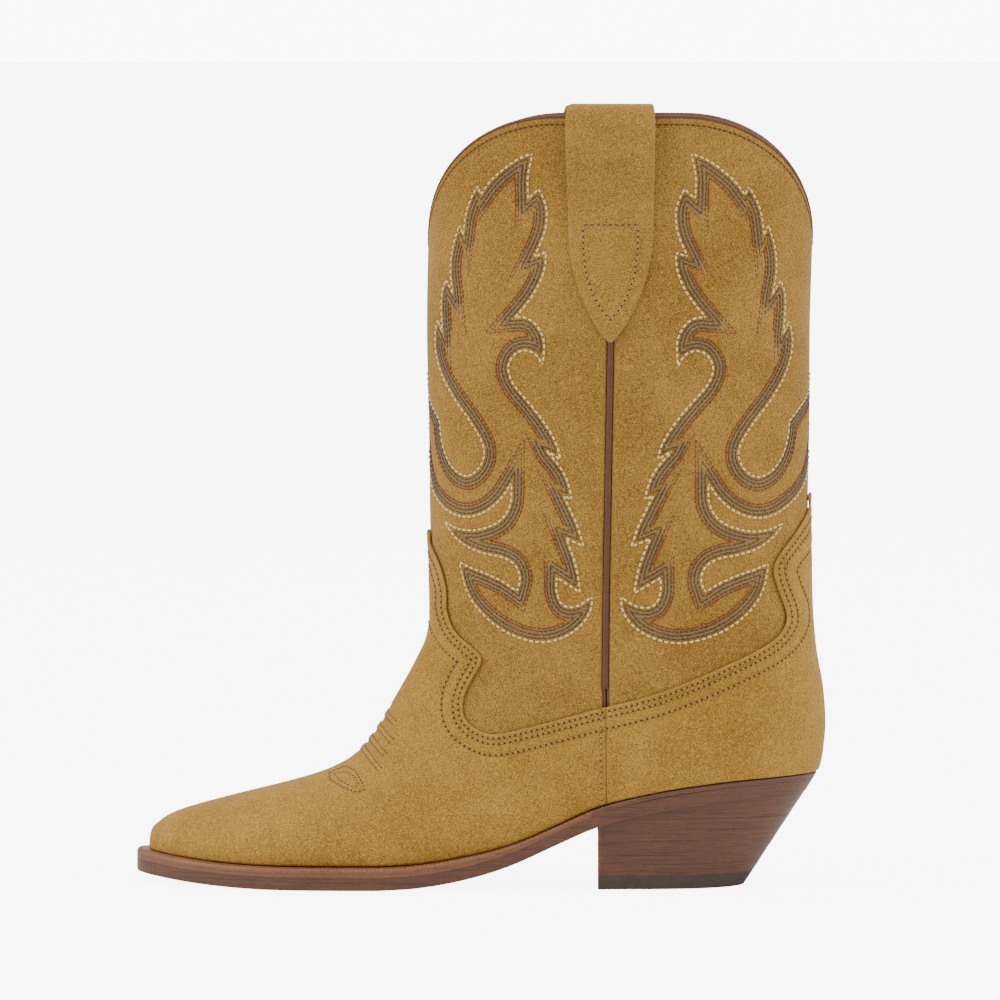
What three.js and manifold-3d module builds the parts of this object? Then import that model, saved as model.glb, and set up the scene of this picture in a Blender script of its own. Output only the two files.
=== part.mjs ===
// A left-foot western boot with a stacked leather heel, as an assembly of separate pieces.
// Millimetres. +Z is up, the toe points along -X, the outer (lateral) side faces -Y.
//
// One smooth surface, the last, shapes every piece. It is a fan of ovals that starts level at the
// top of the shaft, tips over at the ankle and ends at the toe. A place on it is (t, phi): t counts
// the ovals from the top, phi goes round an oval, 0 at the front or top and PI at the back or sole.
// The upper is made of layers at fixed distances from the last: lining, middle layer, cover layer.
import * as THREE from 'three';
import { mergeVertices } from 'three/addons/utils/BufferGeometryUtils.js';
import Module from 'manifold-3d';

// ---------- driving sizes ----------
const FOOT_LENGTH = 267.8; // toe to heel of the last
const SHAFT_HEIGHT = 306.8; // ground to the top line at the side seams
const HEEL_HEIGHT = 27; // ground to the top of the heel at its front face
const GIRTH = 1; // fullness of the last across the foot and leg
const CLEAR = 0.3; // gap between pieces that touch
const LINING = 1.1; // thickness of the lining leather
const LEATHER = 1.4; // thickness of the suede and of the stiffeners under it
const DIP = 49; // depth of the V at the front and back of the top line
const DIP_SPREAD = 72; // degrees round the shaft from the point of the V to the level top line
const WELT = 3.5; // thickness of the welt round the forefoot
const WAIST_WELT = 2.1; // its thickness behind the ball
const WELT_WIDTH = 5; // how far the welt stands out past the upper
const WAIST_WIDTH = 2.4; // the same at the waist
const SEAT_WIDTH_OUT = 0; // the same round the heel seat, where the heel is flush with the upper
const OUTSOLE = 5.2;
const LASTING_GAP = 0.7; // under the lower edge of the upper
const INSOLE = 2.6;
const SOCK = 1.2;
const PIPING = 2.4; // width of the strip in the side seam
const BINDING = 6; // depth of the binding inside the top edge
const BINDING_WALL = 0.9;
const BINDING_PROUD = 0.5; // how far it stands out past the suede
const STRAP_WIDTH = 34;
const STRAP_THICKNESS = 1.9;
const STRAP_GAP = 0.8; // between the strap and the leather it is sewn to
const STRAP_STAND_OFF = 7.5; // room for a finger between the strap and the shaft
const STRAP_RISE = 5.4; // how far its fold stands above the top line
const STRAP_DROP = 89.3; // from the top line down to its pointed end
const STRAP_FREE = 44.8; // from the top line down to where it is sewn on
const MEDIAL_STRAP_AHEAD = 4; // the medial strap sits this much nearer the toe
const MEDIAL_STRAP_LOWER = 1.4; // and this much lower
const FOLD_RISE = 8;
const TOP_LIFT = 5.6; // rubber
const LIFT_COUNT = 7; // leather lifts in the stack
const HEEL_BACK_SLOPE = 0.65; // how far the back of the heel comes forward for each mm down
const HEEL_SIDE_SLOPE = 0.1;
const NAIL = 1.6; // shank diameter of the heel nails
const SCREW = 4.5;
const SHANK_WIDTH = 13;
const SHANK_THICKNESS = 1.5;
const COLUMNS = 28; // facets round the last

// ---------- places on the last that seams refer to ----------
const NEUTRAL_LENGTH = 267.8; // the length that the points below were drawn for
const STRETCH = FOOT_LENGTH / NEUTRAL_LENGTH;
const ANKLE = 104; // above this height the last only gets longer or shorter with the shaft
const NEUTRAL_SHAFT = 306.8;
const SHAFT_STRETCH = (SHAFT_HEIGHT - ANKLE) / (NEUTRAL_SHAFT - ANKLE);
const NEUTRAL_HEEL = 27;
const BALL_X = -40 * STRETCH; // the flat tread ends here and the arch starts
const TOE_BREAK_X = -78 * STRETCH; // in front of this the sole lifts off the ground
const BREAST_X = 46.7 * STRETCH; // front face of the heel

// Ovals of the last: front x, z, back x, z, half width, front fullness, back fullness, middle y.
const OVALS = [
  [-22.6, 314, 132.6, 314, 44.6, 0.02, 0.05, 0],
  [-22.3, 270, 132.2, 270, 44.2, 0.02, 0.05, 0],
  [-22.4, 225, 130.4, 225, 43.2, 0.02, 0.06, 0],
  [-22.0, 185, 130.6, 185, 41.8, 0.02, 0.08, 0],
  [-21.3, 150, 129.8, 150, 39.6, 0.02, 0.14, 0],
  [-20.0, 121, 129.9, 119, 37.0, 0.02, 0.24, 0],
  [-20.9, 101, 131.6, 96, 35.0, 0, 0.32, 0],
  [-25.6, 89, 134.6, 77, 33.6, -0.02, 0.38, -0.3],
  [-33.2, 75, 134.9, 59, 32.4, -0.04, 0.42, -0.6],
  [-41.4, 61, 130.4, 42, 31.4, -0.06, 0.42, -1],
  [-50.2, 50.8, 112, 25, 31.0, -0.08, 0.3, -1.4],
  [-58.0, 46.0, 80, 17, 31.4, -0.1, 0.16, -1.8],
  [-66.0, 42.8, 47, 9, 32.6, -0.12, 0.1, -2],
  [-75.0, 40.0, 14, -1, 35.6, -0.14, 0.06, -1.8],
  [-85.0, 37.2, -18, -8, 38.8, -0.16, 0.04, -1],
  [-96.0, 34.3, -48, -10, 39.6, -0.17, 0.02, 0.4],
  [-106.0, 31.6, -74, -9, 36.6, -0.17, 0, 1.8],
  [-115.0, 29.1, -95, -6, 31.0, -0.16, 0, 3],
  [-123.0, 26.4, -112, -2, 23.4, -0.13, 0, 3.8],
  [-129.2, 22.8, -124, 2, 15.0, -0.08, 0, 4.2],
  [-132.6, 17.4, -131, 3, 7.6, 0, 0, 4.4],
  [-131.6, 0, -131.6, 0, 0, 0, 0, 4.4],
];
const HEEL_OVAL = 9.3; // the ovals before this one end on the back of the heel
// Underside of the outsole along the arch and heel seat: x, z.
const ARCH = [[-40, 0], [-24, 1], [-6, 4.1], [12, 9.5], [31, 18.1], [46.7, 25], [66, 30], [85, 33.4],
  [108, 36], [150, 38.6]];
// Top edge of the vamp, seen from the side, from the tongue at the front to the side seam: x, z.
const VAMP_EDGE = [[-40, 142.4], [-21.8, 142], [-19.6, 136], [-15.4, 127], [-13.2, 118], [-13, 109.6],
  [-9.6, 101.4], [-0.6, 93.4], [0.6, 90.2], [-1.2, 86.6], [-5.8, 78], [-7, 71.4], [-5.2, 66.2],
  [0.6, 62.4], [8, 61.6], [27, 66.5], [52, 73.6]];
// Top edge of the heel counter cover, from the side seam to the back seam: x, z.
const COUNTER_EDGE = [[49, 72.6], [70.7, 78.5], [94, 87.9], [113, 97.2], [119.6, 103.8], [120.4, 110],
  [117.4, 119], [115.7, 126.4], [117.6, 132.4], [124.3, 141.4], [129.4, 150.2], [131, 157.4], [150, 158]];
// The side seam, top to bottom: x, z.
const SIDE_SEAM = [[52.4, 330], [52, 217], [51, 163.4], [50.1, 115.6], [49.7, 84], [50.2, 66], [50.4, 20]];

const wasm = await Module();
wasm.setup();
const boot = new THREE.Group();

// ---------- small helpers ----------
const smooth = (from, to, value) => THREE.MathUtils.smoothstep(value, from, to);
const mix = THREE.MathUtils.lerp;

/** Height that a point gains or loses when the heel or the shaft is not the neutral size. */
function restand(x, z) {
  const pitch = (HEEL_HEIGHT - NEUTRAL_HEEL) * smooth(BALL_X, BREAST_X, x);
  const tall = z > ANKLE ? (z - ANKLE) * (SHAFT_STRETCH - 1) : 0;
  return z + pitch + tall;
}

const place = ([x, z]) => [x * STRETCH, restand(x * STRETCH, z)];

/** Straight-line interpolation of y along a list of [x, y] points with rising x. */
function follow(points, x) {
  if (x <= points[0][0]) return points[0][1];
  for (let k = 1; k < points.length; k += 1) {
    if (x <= points[k][0]) {
      const [[x0, y0], [x1, y1]] = [points[k - 1], points[k]];
      return mix(y0, y1, (x - x0) / (x1 - x0));
    }
  }
  return points[points.length - 1][1];
}

/** A smooth line through side-view points, as a list of [x, z]. */
function smoothLine(points, steps) {
  const curve = new THREE.SplineCurve(points.map((point) => new THREE.Vector2(...point)));
  return curve.getPoints(points.length * steps).map((point) => [point.x, point.y]);
}

const ARCH_LINE = smoothLine(ARCH.map(place), 4);
const SEAM_LINE = SIDE_SEAM.map(place);
const seamX = (z) => follow([...SEAM_LINE].reverse().map(([x, height]) => [height, x]), z);

/** Underside of the outsole. */
function tread(x) {
  if (x > BALL_X) return follow(ARCH_LINE, x);
  const ahead = Math.max(0, TOE_BREAK_X - x);
  return 4.3 * (ahead / (60 * STRETCH)) ** 2;
}

const weltThickness = (x) => mix(WELT, WAIST_WELT, smooth(-15, 30, x / STRETCH));
const outsoleTop = (x) => tread(x) + OUTSOLE;
/** Top of the welt, where the upper meets it. */
const feather = (x) => outsoleTop(x) + CLEAR + weltThickness(x);

// ---------- the last ----------
function ovalAt(t) {
  const first = Math.min(Math.max(Math.floor(t), 0), OVALS.length - 2);
  const rest = t - first;
  const rows = [-1, 0, 1, 2].map((step) => {
    return OVALS[THREE.MathUtils.clamp(first + step, 0, OVALS.length - 1)];
  });
  return OVALS[0].map((_, k) => {
    const [p0, p1, p2, p3] = rows.map((row) => row[k]);
    const linear = p2 - p0;
    const square = 2 * p0 - 5 * p1 + 4 * p2 - p3;
    const cube = 3 * p1 - p0 - 3 * p2 + p3;
    return 0.5 * (2 * p1 + rest * (linear + rest * (square + rest * cube)));
  });
}

/** The point of the last at (t, phi). */
function lastPoint(t, phi) {
  const [frontX, frontZ, backX, backZ, halfWidth, frontFull, backFull, middleY] = ovalAt(t);
  const across = (1 - Math.cos(phi)) / 2;
  const x = mix(frontX, backX, across) * STRETCH;
  const z = mix(frontZ, backZ, across);
  const front = frontFull * Math.cos(phi / 2) ** 4;
  const back = backFull * Math.sin(phi / 2) ** 4;
  const y = GIRTH * halfWidth * Math.sin(phi) * (1 + front + back) + middleY;
  return new THREE.Vector3(x, y, restand(x, z));
}

/** Outward direction of the last at (t, phi). */
function lastNormal(t, phi) {
  const step = 0.02;
  const along = lastPoint(t + step, phi).sub(lastPoint(t - step, phi));
  const around = lastPoint(t, phi + step).sub(lastPoint(t, phi - step));
  const normal = around.cross(along);
  return normal.lengthSq() > 1e-12 ? normal.normalize() : new THREE.Vector3(-1, 0, 0);
}

const offLast = (t, phi, distance) => lastPoint(t, phi).addScaledVector(lastNormal(t, phi), distance);

/** Height of the top line at phi. */
function topLine(phi) {
  const degrees = THREE.MathUtils.radToDeg(Math.acos(Math.abs(Math.cos(phi))));
  const share = Math.sin((Math.PI / 2) * Math.min(1, degrees / DIP_SPREAD));
  return SHAFT_HEIGHT - DIP * (1 - share);
}

/** Place on the shaft at a side-view x and z, on the side given by -1 (lateral) or 1 (medial). */
function onShaft(x, z, side) {
  let low = 0;
  let high = 6;
  let phi = 0;
  for (let k = 0; k < 30; k += 1) {
    const t = (low + high) / 2;
    const [frontX, , backX] = ovalAt(t);
    const across = THREE.MathUtils.clamp((x / STRETCH - frontX) / (backX - frontX), 0, 1);
    phi = side * Math.acos(1 - 2 * across);
    if (lastPoint(t, phi).z > z) low = t;
    else high = t;
  }
  return [low, phi];
}

// ---------- making solids ----------
function addPiece(name, geometry, color, roughness, metalness = 0) {
  const mesh = new THREE.Mesh(geometry, new THREE.MeshStandardMaterial({ color, roughness, metalness }));
  mesh.name = name;
  boot.add(mesh);
}

/** A closed geometry from polygons whose corners are Vector3, welded where corners agree. */
function solidFrom(polygons) {
  const positions = [];
  polygons.forEach((polygon) => {
    for (let k = 1; k < polygon.length - 1; k += 1) {
      [polygon[0], polygon[k], polygon[k + 1]].forEach((corner) => positions.push(...corner));
    }
  });
  const geometry = new THREE.BufferGeometry();
  geometry.setAttribute('position', new THREE.Float32BufferAttribute(positions, 3));
  return mergeVertices(geometry, 1e-4);
}

function toManifold(geometry) {
  const bare = geometry.clone();
  bare.deleteAttribute('normal');
  bare.deleteAttribute('uv');
  const merged = mergeVertices(bare, 1e-4);
  const vertProperties = new Float32Array(merged.attributes.position.array);
  const triVerts = new Uint32Array(merged.index.array);
  return new wasm.Manifold(new wasm.Mesh({ numProp: 3, vertProperties, triVerts }));
}

function fromManifold(solid) {
  const mesh = solid.getMesh();
  const geometry = new THREE.BufferGeometry();
  geometry.setAttribute('position', new THREE.BufferAttribute(mesh.vertProperties, 3));
  geometry.setIndex(new THREE.BufferAttribute(mesh.triVerts, 1));
  return geometry;
}

/** The first geometry with the others cut away. */
function cut(geometry, cutters) {
  const solid = cutters.reduce((body, cutter) => body.subtract(toManifold(cutter)), toManifold(geometry));
  return fromManifold(solid);
}

/** Skins a list of rings, each a closed loop of Vector3 of the same length, and caps both ends. */
function loft(rings) {
  const polygons = [rings[0], [...rings[rings.length - 1]].reverse()];
  for (let k = 1; k < rings.length; k += 1) {
    const [near, far] = [rings[k - 1], rings[k]];
    near.forEach((corner, i) => {
      const next = (i + 1) % near.length;
      polygons.push([corner, far[i], far[next]], [corner, far[next], near[next]]);
    });
  }
  return outward(solidFrom(polygons));
}

/** Turns a closed geometry right way out. */
function outward(geometry) {
  const { position } = geometry.attributes;
  const index = geometry.index.array;
  const [a, b, c] = [new THREE.Vector3(), new THREE.Vector3(), new THREE.Vector3()];
  let volume = 0;
  for (let k = 0; k < index.length; k += 3) {
    a.fromBufferAttribute(position, index[k]);
    b.fromBufferAttribute(position, index[k + 1]);
    c.fromBufferAttribute(position, index[k + 2]);
    volume += a.dot(b.cross(c));
  }
  if (volume < 0) {
    for (let k = 0; k < index.length; k += 3) [index[k], index[k + 1]] = [index[k + 1], index[k]];
  }
  return geometry;
}

// The net of places that every layer of the upper is cut from: rows down the last, columns round it.
const NET_ROWS = [];
for (let t = 0; t < OVALS.length; t += t < 2 || (t >= 4 && t < 8) ? 0.5 : 1) NET_ROWS.push(t);
const NET = NET_ROWS.map((t) => {
  return Array.from({ length: COLUMNS }, (_, column) => {
    const phi = (2 * Math.PI * column) / COLUMNS;
    return { base: lastPoint(t, phi), normal: lastNormal(t, phi), phi };
  });
});

const LEAST_STEP = 0.1; // a cut stays this far from the corners of the net

/**
 * A layer of the upper between two distances from the last, cut to the places where every pattern
 * is positive. A pattern(point, phi) is a distance inside an edge, so a cell that the edge crosses
 * is clipped where the distance is zero.
 */
function layer(inner, outer, ...patterns) {
  let count = 0;
  const corners = NET.map((row) => row.map(({ base, normal, phi }) => {
    const [low, high] = [inner, outer].map((distance) => base.clone().addScaledVector(normal, distance));
    const inside = patterns.map((pattern) => Math.min(pattern(low, phi), pattern(high, phi)));
    count += 1;
    return { id: count, low, high, inside };
  }));
  let cells = [];
  for (let row = 1; row < corners.length; row += 1) {
    for (let column = 0; column < COLUMNS; column += 1) {
      const next = (column + 1) % COLUMNS;
      const [above, here] = [corners[row - 1], corners[row]];
      cells.push([above[column], above[next], here[next], here[column]]);
    }
  }
  patterns.forEach((_, k) => {
    const crossings = new Map();
    const crossing = (a, b) => {
      const [first, second] = a.id < b.id ? [a, b] : [b, a];
      const name = `${first.id},${second.id}`;
      if (!crossings.has(name)) {
        const room = Math.min(0.3, LEAST_STEP / first.low.distanceTo(second.low));
        const where = first.inside[k] / (first.inside[k] - second.inside[k]);
        const share = THREE.MathUtils.clamp(where, room, 1 - room);
        count += 1;
        crossings.set(name, {
          id: count,
          low: first.low.clone().lerp(second.low, share),
          high: first.high.clone().lerp(second.high, share),
          inside: first.inside.map((value, i) => mix(value, second.inside[i], share)),
        });
      }
      return crossings.get(name);
    };
    cells = cells.map((cell) => cell.flatMap((here, i) => {
      const there = cell[(i + 1) % cell.length];
      const kept = here.inside[k] > 0 ? [here] : [];
      return here.inside[k] > 0 === there.inside[k] > 0 ? kept : [...kept, crossing(here, there)];
    })).filter((cell) => cell.length > 2);
  });
  return outward(solidFrom(wrap(cells)));
}

/** Both faces of a list of cells, and walls along every side that only one cell has. */
function wrap(cells) {
  const labels = new Map();
  const label = (corner) => {
    if (!labels.has(corner)) labels.set(corner, labels.size);
    return labels.get(corner);
  };
  const sides = new Map();
  const polygons = [];
  cells.forEach((cell) => {
    polygons.push(cell.map((corner) => corner.high));
    polygons.push([cell[0], ...cell.slice(1).reverse()].map((corner) => corner.low));
    cell.forEach((corner, k) => {
      const next = cell[(k + 1) % cell.length];
      const back = `${label(next)}>${label(corner)}`;
      if (!sides.delete(back)) sides.set(`${label(corner)}>${label(next)}`, [corner, next]);
    });
  });
  sides.forEach(([from, to]) => {
    polygons.push([to.high, from.high, from.low], [to.high, from.low, to.low]);
  });
  return polygons;
}

/** Distance inside a closed side-view outline, negative outside. */
function outline(points) {
  return ({ x, z }) => {
    let nearest = Infinity;
    let inside = false;
    points.forEach(([x1, z1], k) => {
      const [x0, z0] = points[(k + points.length - 1) % points.length];
      const [dx, dz] = [x1 - x0, z1 - z0];
      const share = THREE.MathUtils.clamp(((x - x0) * dx + (z - z0) * dz) / (dx * dx + dz * dz || 1), 0, 1);
      nearest = Math.min(nearest, Math.hypot(x - x0 - share * dx, z - z0 - share * dz));
      if (z0 > z !== z1 > z && x < x0 + ((z - z0) / dz) * dx) inside = !inside;
    });
    return inside ? nearest : -nearest;
  };
}

// ---------- the upper ----------
const SUEDE = '#a57a40';
const LINING_COLOR = '#c9a77c';
const BOARD = '#b98f5f';
const BROWN = '#734c3b';
const STEEL = '#9a9da1';

// Distances of the layers from the last.
const MIDDLE = [-LEATHER, 0];
const COVER = [CLEAR, CLEAR + LEATHER];
const INSIDE = [-LEATHER - CLEAR - LINING, -LEATHER - CLEAR];

const vampLine = smoothLine(VAMP_EDGE.map(place), 3);
const counterLine = smoothLine(COUNTER_EDGE.map(place), 3);
const inVamp = outline([...vampLine, [80, 74], [80, -60], [-200, -60], [-200, 143]]);
const inCounter = outline([[20, 66], ...counterLine, [200, 158], [200, -60], [20, -60]]);
const OVERLAP = 11; // how far the shaft runs on under the vamp and the counter cover
const LINING_JOIN = 96; // height of the seam between the shaft lining and the foot lining
const STIFFENER_TOP = 70; // height of the heel stiffener
const TOE_PUFF_X = -92; // back edge of the toe puff

const overFeather = ({ x, z }) => z - feather(x) - LASTING_GAP;
const belowTop = ({ z }, phi) => topLine(phi) - z;
const aheadOfSeam = (gap) => ({ x, z }) => seamX(z) - gap - x;
const behindSeam = (gap) => ({ x, z }) => x - seamX(z) - gap;
const SEAM_GAP = PIPING / 2 + CLEAR;
const HALF_CLEAR = CLEAR / 2 + 0.05;

function addUpper() {
  addPiece('vamp', layer(...COVER, inVamp, aheadOfSeam(HALF_CLEAR), overFeather), SUEDE, 0.95);
  const counterCover = layer(...COVER, inCounter, behindSeam(HALF_CLEAR), overFeather);
  addPiece('heel_counter_cover', counterCover, SUEDE, 0.95);

  const overlapVamp = (point) => OVERLAP - inVamp(point);
  const overlapCounter = (point) => OVERLAP - inCounter(point);
  const front = layer(...MIDDLE, overlapVamp, aheadOfSeam(SEAM_GAP), belowTop);
  addPiece('shaft_front', front, SUEDE, 0.95);
  const back = layer(...MIDDLE, overlapCounter, behindSeam(SEAM_GAP), belowTop);
  addPiece('shaft_back', back, SUEDE, 0.95);

  const belowShaftFront = (point) => inVamp(point) - OVERLAP - CLEAR;
  const behindPuff = ({ x }) => x - (TOE_PUFF_X * STRETCH + CLEAR);
  const doubler = layer(...MIDDLE, belowShaftFront, aheadOfSeam(SEAM_GAP), overFeather, behindPuff);
  addPiece('vamp_doubler', doubler, BOARD, 0.9);
  addPiece('toe_puff', layer(...MIDDLE, ({ x }) => TOE_PUFF_X * STRETCH - x, overFeather), BOARD, 0.8);
  const belowShaftBack = (point) => inCounter(point) - OVERLAP - CLEAR;
  const stiffenerTop = ({ x, z }) => restand(x, STIFFENER_TOP) - z;
  const stiffener = layer(...MIDDLE, belowShaftBack, behindSeam(SEAM_GAP), overFeather, stiffenerTop);
  addPiece('heel_stiffener', stiffener, BOARD, 0.8);

  const overJoin = ({ x, z }) => z - restand(x, LINING_JOIN);
  const underJoin = (point) => -CLEAR - overJoin(point);
  const linings = {
    shaft_lining_front: [overJoin, aheadOfSeam(CLEAR), belowTop],
    shaft_lining_back: [overJoin, behindSeam(CLEAR), belowTop],
    vamp_lining: [underJoin, aheadOfSeam(CLEAR), overFeather],
    heel_lining: [underJoin, behindSeam(CLEAR), overFeather],
  };
  Object.entries(linings).forEach(([name, patterns]) => {
    addPiece(name, layer(...INSIDE, ...patterns), LINING_COLOR, 0.8);
  });
}

/** The strip in a side seam, from under the binding down to the vamp. */
function addPiping(side, name) {
  const top = SHAFT_HEIGHT - CLEAR;
  const bottom = restand(SIDE_SEAM[4][0], 80);
  const steps = 12;
  const rings = Array.from({ length: steps + 1 }, (_, k) => {
    const z = mix(top, bottom, k / steps);
    const corner = (dx, distance) => offLast(...onShaft(seamX(z) + dx, z, side), distance);
    const [left, right] = [-PIPING / 2, PIPING / 2];
    return [
      corner(left, -LEATHER), corner(right, -LEATHER),
      corner(right, 0.1), corner(0, 0.3), corner(left, 0.1),
    ];
  });
  addPiece(name, loft(rings), BROWN, 0.6);
}

/** The binding: a cap on the top edge that folds down inside the shaft, cut to its side by a pattern. */
function addBinding(name, pattern) {
  const below = (height) => ({ z }, phi) => topLine(phi) + height - z;
  const inShaft = ({ z }) => z - (SHAFT_HEIGHT - DIP - 30);
  const under = INSIDE[0] - CLEAR;
  const blank = layer(under - BINDING_WALL, BINDING_PROUD, pattern, below(2 * CLEAR + BINDING_WALL), inShaft);
  const edge = layer(under, BINDING_PROUD + CLEAR, below(2 * CLEAR));
  const lower = layer(under - 4, 5, below(-BINDING));
  addPiece(name, cut(blank, [edge, lower]), BROWN, 0.6);
}

const STRAP_POINT = 46; // length of the strap's narrowing end
const STRAP_FULLNESS = 0.8; // below 1 its sides bulge, above 1 they are hollow

/** Half the width of the pull strap at height z: level at the top, pointed at its lower end. */
function strapHalf(z, tip) {
  const share = THREE.MathUtils.clamp((z - tip) / STRAP_POINT, 0, 1);
  return (STRAP_WIDTH / 2) * Math.sin((Math.PI / 2) * share ** STRAP_FULLNESS);
}

/** A pull strap, folded over the top line and sewn down outside and inside. */
function addStrap(side, name) {
  const ahead = side > 0 ? MEDIAL_STRAP_AHEAD : 0;
  const top = SHAFT_HEIGHT - (side > 0 ? MEDIAL_STRAP_LOWER : 0);
  const crest = top + STRAP_RISE;
  const tip = top - STRAP_DROP;
  const sewn = top - STRAP_FREE;
  const shoulder = crest - STRAP_THICKNESS - FOLD_RISE;
  const outside = STRAP_GAP + STRAP_STAND_OFF;
  const lining = INSIDE[0] - CLEAR - BINDING_WALL - STRAP_GAP;
  const inside = lining - STRAP_STAND_OFF / 2;
  // The face of the strap that looks at the shaft: distance from the last, height.
  const line = [0.6, 5, 12, 22, 34].map((height) => [STRAP_GAP, tip + height]);
  line.push([STRAP_GAP, sewn]);
  [0.3, 0.7, 1].forEach((share) => {
    line.push([mix(STRAP_GAP, outside, smooth(0, 1, share)), mix(sewn, shoulder, share)]);
  });
  [35, 65, 90, 115, 145].forEach((degrees) => {
    const angle = THREE.MathUtils.degToRad(degrees);
    const share = Math.sign(Math.cos(angle)) * Math.abs(Math.cos(angle)) ** 0.7;
    line.push([mix(inside, outside, (1 + share) / 2), shoulder + FOLD_RISE * Math.sin(angle) ** 0.6]);
  });
  line.push([inside, shoulder], [mix(inside, lining, 0.8), mix(shoulder, sewn, 0.5)], [lining, sewn]);
  const across = [-1, -0.67, -0.33, 0, 0.33, 0.67, 1];
  const rings = line.map(([distance, z], k) => {
    const [before, after] = [line[Math.max(k - 1, 0)], line[Math.min(k + 1, line.length - 1)]];
    const way = new THREE.Vector2(after[0] - before[0], after[1] - before[1]).normalize();
    const half = strapHalf(k > 5 ? crest : z, tip);
    const corner = (share, thick) => {
      const height = z - way.x * thick;
      const place = onShaft(seamX(z) - ahead + share * half, height, side);
      return offLast(...place, distance + way.y * thick);
    };
    const under = across.map((share) => corner(share, 0));
    const over = across.map((share) => corner(share, STRAP_THICKNESS)).reverse();
    return [...under, ...over];
  });
  addPiece(name, loft(rings), SUEDE, 0.95);
}

// ---------- the bottom ----------
/** The value between two others at which test() changes, found by halving. */
function halve(low, high, test) {
  let from = low;
  let to = high;
  for (let k = 0; k < 30; k += 1) {
    const middle = (from + to) / 2;
    if (test(middle)) from = middle;
    else to = middle;
  }
  return from;
}

/** Where the last meets the height of the welt on one side: Vector2 from toe to heel. */
function featherSide(side) {
  const points = [];
  const above = (t, phi) => {
    const { x, z } = lastPoint(t, side * phi);
    return z > feather(x);
  };
  const add = (t, phi) => {
    const { x, y } = lastPoint(t, side * phi);
    points.push(new THREE.Vector2(x, y));
  };
  let reached = 0;
  for (let t = OVALS.length - 1.05; t > HEEL_OVAL; t -= t > 18 || t < 11.5 ? 0.2 : 0.5) {
    if (above(t, 0)) {
      reached = halve(0, Math.PI, (phi) => above(t, phi));
      add(t, reached);
    }
  }
  for (let k = 1; k <= 9; k += 1) {
    const phi = mix(reached, 0.98 * Math.PI, k / 9);
    add(halve(HEEL_OVAL - 3, HEEL_OVAL + 1, (t) => above(t, phi)), phi);
  }
  return points;
}

const FEATHER_LOOP = [...featherSide(-1), ...featherSide(1).reverse()];
const HALF_LOOP = FEATHER_LOOP.length / 2;

/** The feather line moved outwards by margin(x): the lateral side first, from the toe. */
function loopAt(margin) {
  return FEATHER_LOOP.map((point, k) => {
    const before = FEATHER_LOOP[(k + FEATHER_LOOP.length - 1) % FEATHER_LOOP.length];
    const after = FEATHER_LOOP[(k + 1) % FEATHER_LOOP.length];
    const way = after.clone().sub(before).normalize();
    return new THREE.Vector2(point.x + way.y * margin(point.x), point.y - way.x * margin(point.x));
  });
}

const edgeMargin = (x) => {
  const ahead = mix(WELT_WIDTH, WAIST_WIDTH, smooth(-30, 40, x / STRETCH));
  return COVER[1] + mix(ahead, SEAT_WIDTH_OUT, smooth(40, 70, x / STRETCH));
};
const EDGE_LOOP = loopAt(edgeMargin);
const underLining = INSIDE[0] - CLEAR;
const inwardsBy = (distance) => () => distance;

/** The two sides of a loop as lists of [x, y] with rising x. */
function sidesOf(loop) {
  const rising = (points) => {
    const sorted = points.map(({ x, y }) => [x, y]).sort((a, b) => a[0] - b[0]);
    return sorted.filter(([x], k) => k === 0 || x - sorted[k - 1][0] > 0.05);
  };
  return [rising(loop.slice(0, HALF_LOOP)), rising(loop.slice(HALF_LOOP))];
}

/** A board with the outline of a loop, its faces following two height lines. */
function board(loop, bottom, top) {
  const [lateral, medial] = sidesOf(loop);
  const start = Math.max(lateral[0][0], medial[0][0]) + 0.2;
  const end = Math.min(lateral.at(-1)[0], medial.at(-1)[0]) - 0.2;
  const between = [...lateral.map(([x]) => x), TOE_BREAK_X, BALL_X].sort((a, b) => a - b);
  const stations = between.filter((x, k) => {
    return x > start + 0.6 && x < end - 0.6 && (k === 0 || x - between[k - 1] > 0.3);
  });
  const rings = [start, ...stations, end].map((x) => {
    const [left, right] = [follow(lateral, x), follow(medial, x)];
    return [[left, bottom(x)], [right, bottom(x)], [right, top(x)], [left, top(x)]]
      .map(([y, z]) => new THREE.Vector3(x, y, z));
  });
  return loft(rings);
}

/** A strip that runs along part of the feather line between two loops. */
function strip(inner, outer, chosen) {
  const rings = chosen.map((k) => {
    const corner = ({ x, y }, height) => new THREE.Vector3(x, y, height(x));
    const low = (x) => outsoleTop(x) + CLEAR;
    return [
      corner(outer[k], low), corner(outer[k], feather),
      corner(inner[k], feather), corner(inner[k], low),
    ];
  });
  return loft(rings);
}

const [HEEL_LATERAL, HEEL_MEDIAL] = sidesOf(EDGE_LOOP);
const HEEL_END = Math.min(HEEL_LATERAL.at(-1)[0], HEEL_MEDIAL.at(-1)[0]) - 0.2;
const HEEL_TOP = feather(HEEL_END); // the back of the heel slopes from here down
const SEAT_HEIGHT = tread(HEEL_END) - CLEAR;

/** How far along the heel x comes to lie when it slopes in from the top of the rand by drop. */
function slopeIn(x, drop) {
  const length = HEEL_END - BREAST_X;
  return BREAST_X + ((x - BREAST_X) * (length - HEEL_BACK_SLOPE * drop)) / length;
}

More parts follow.
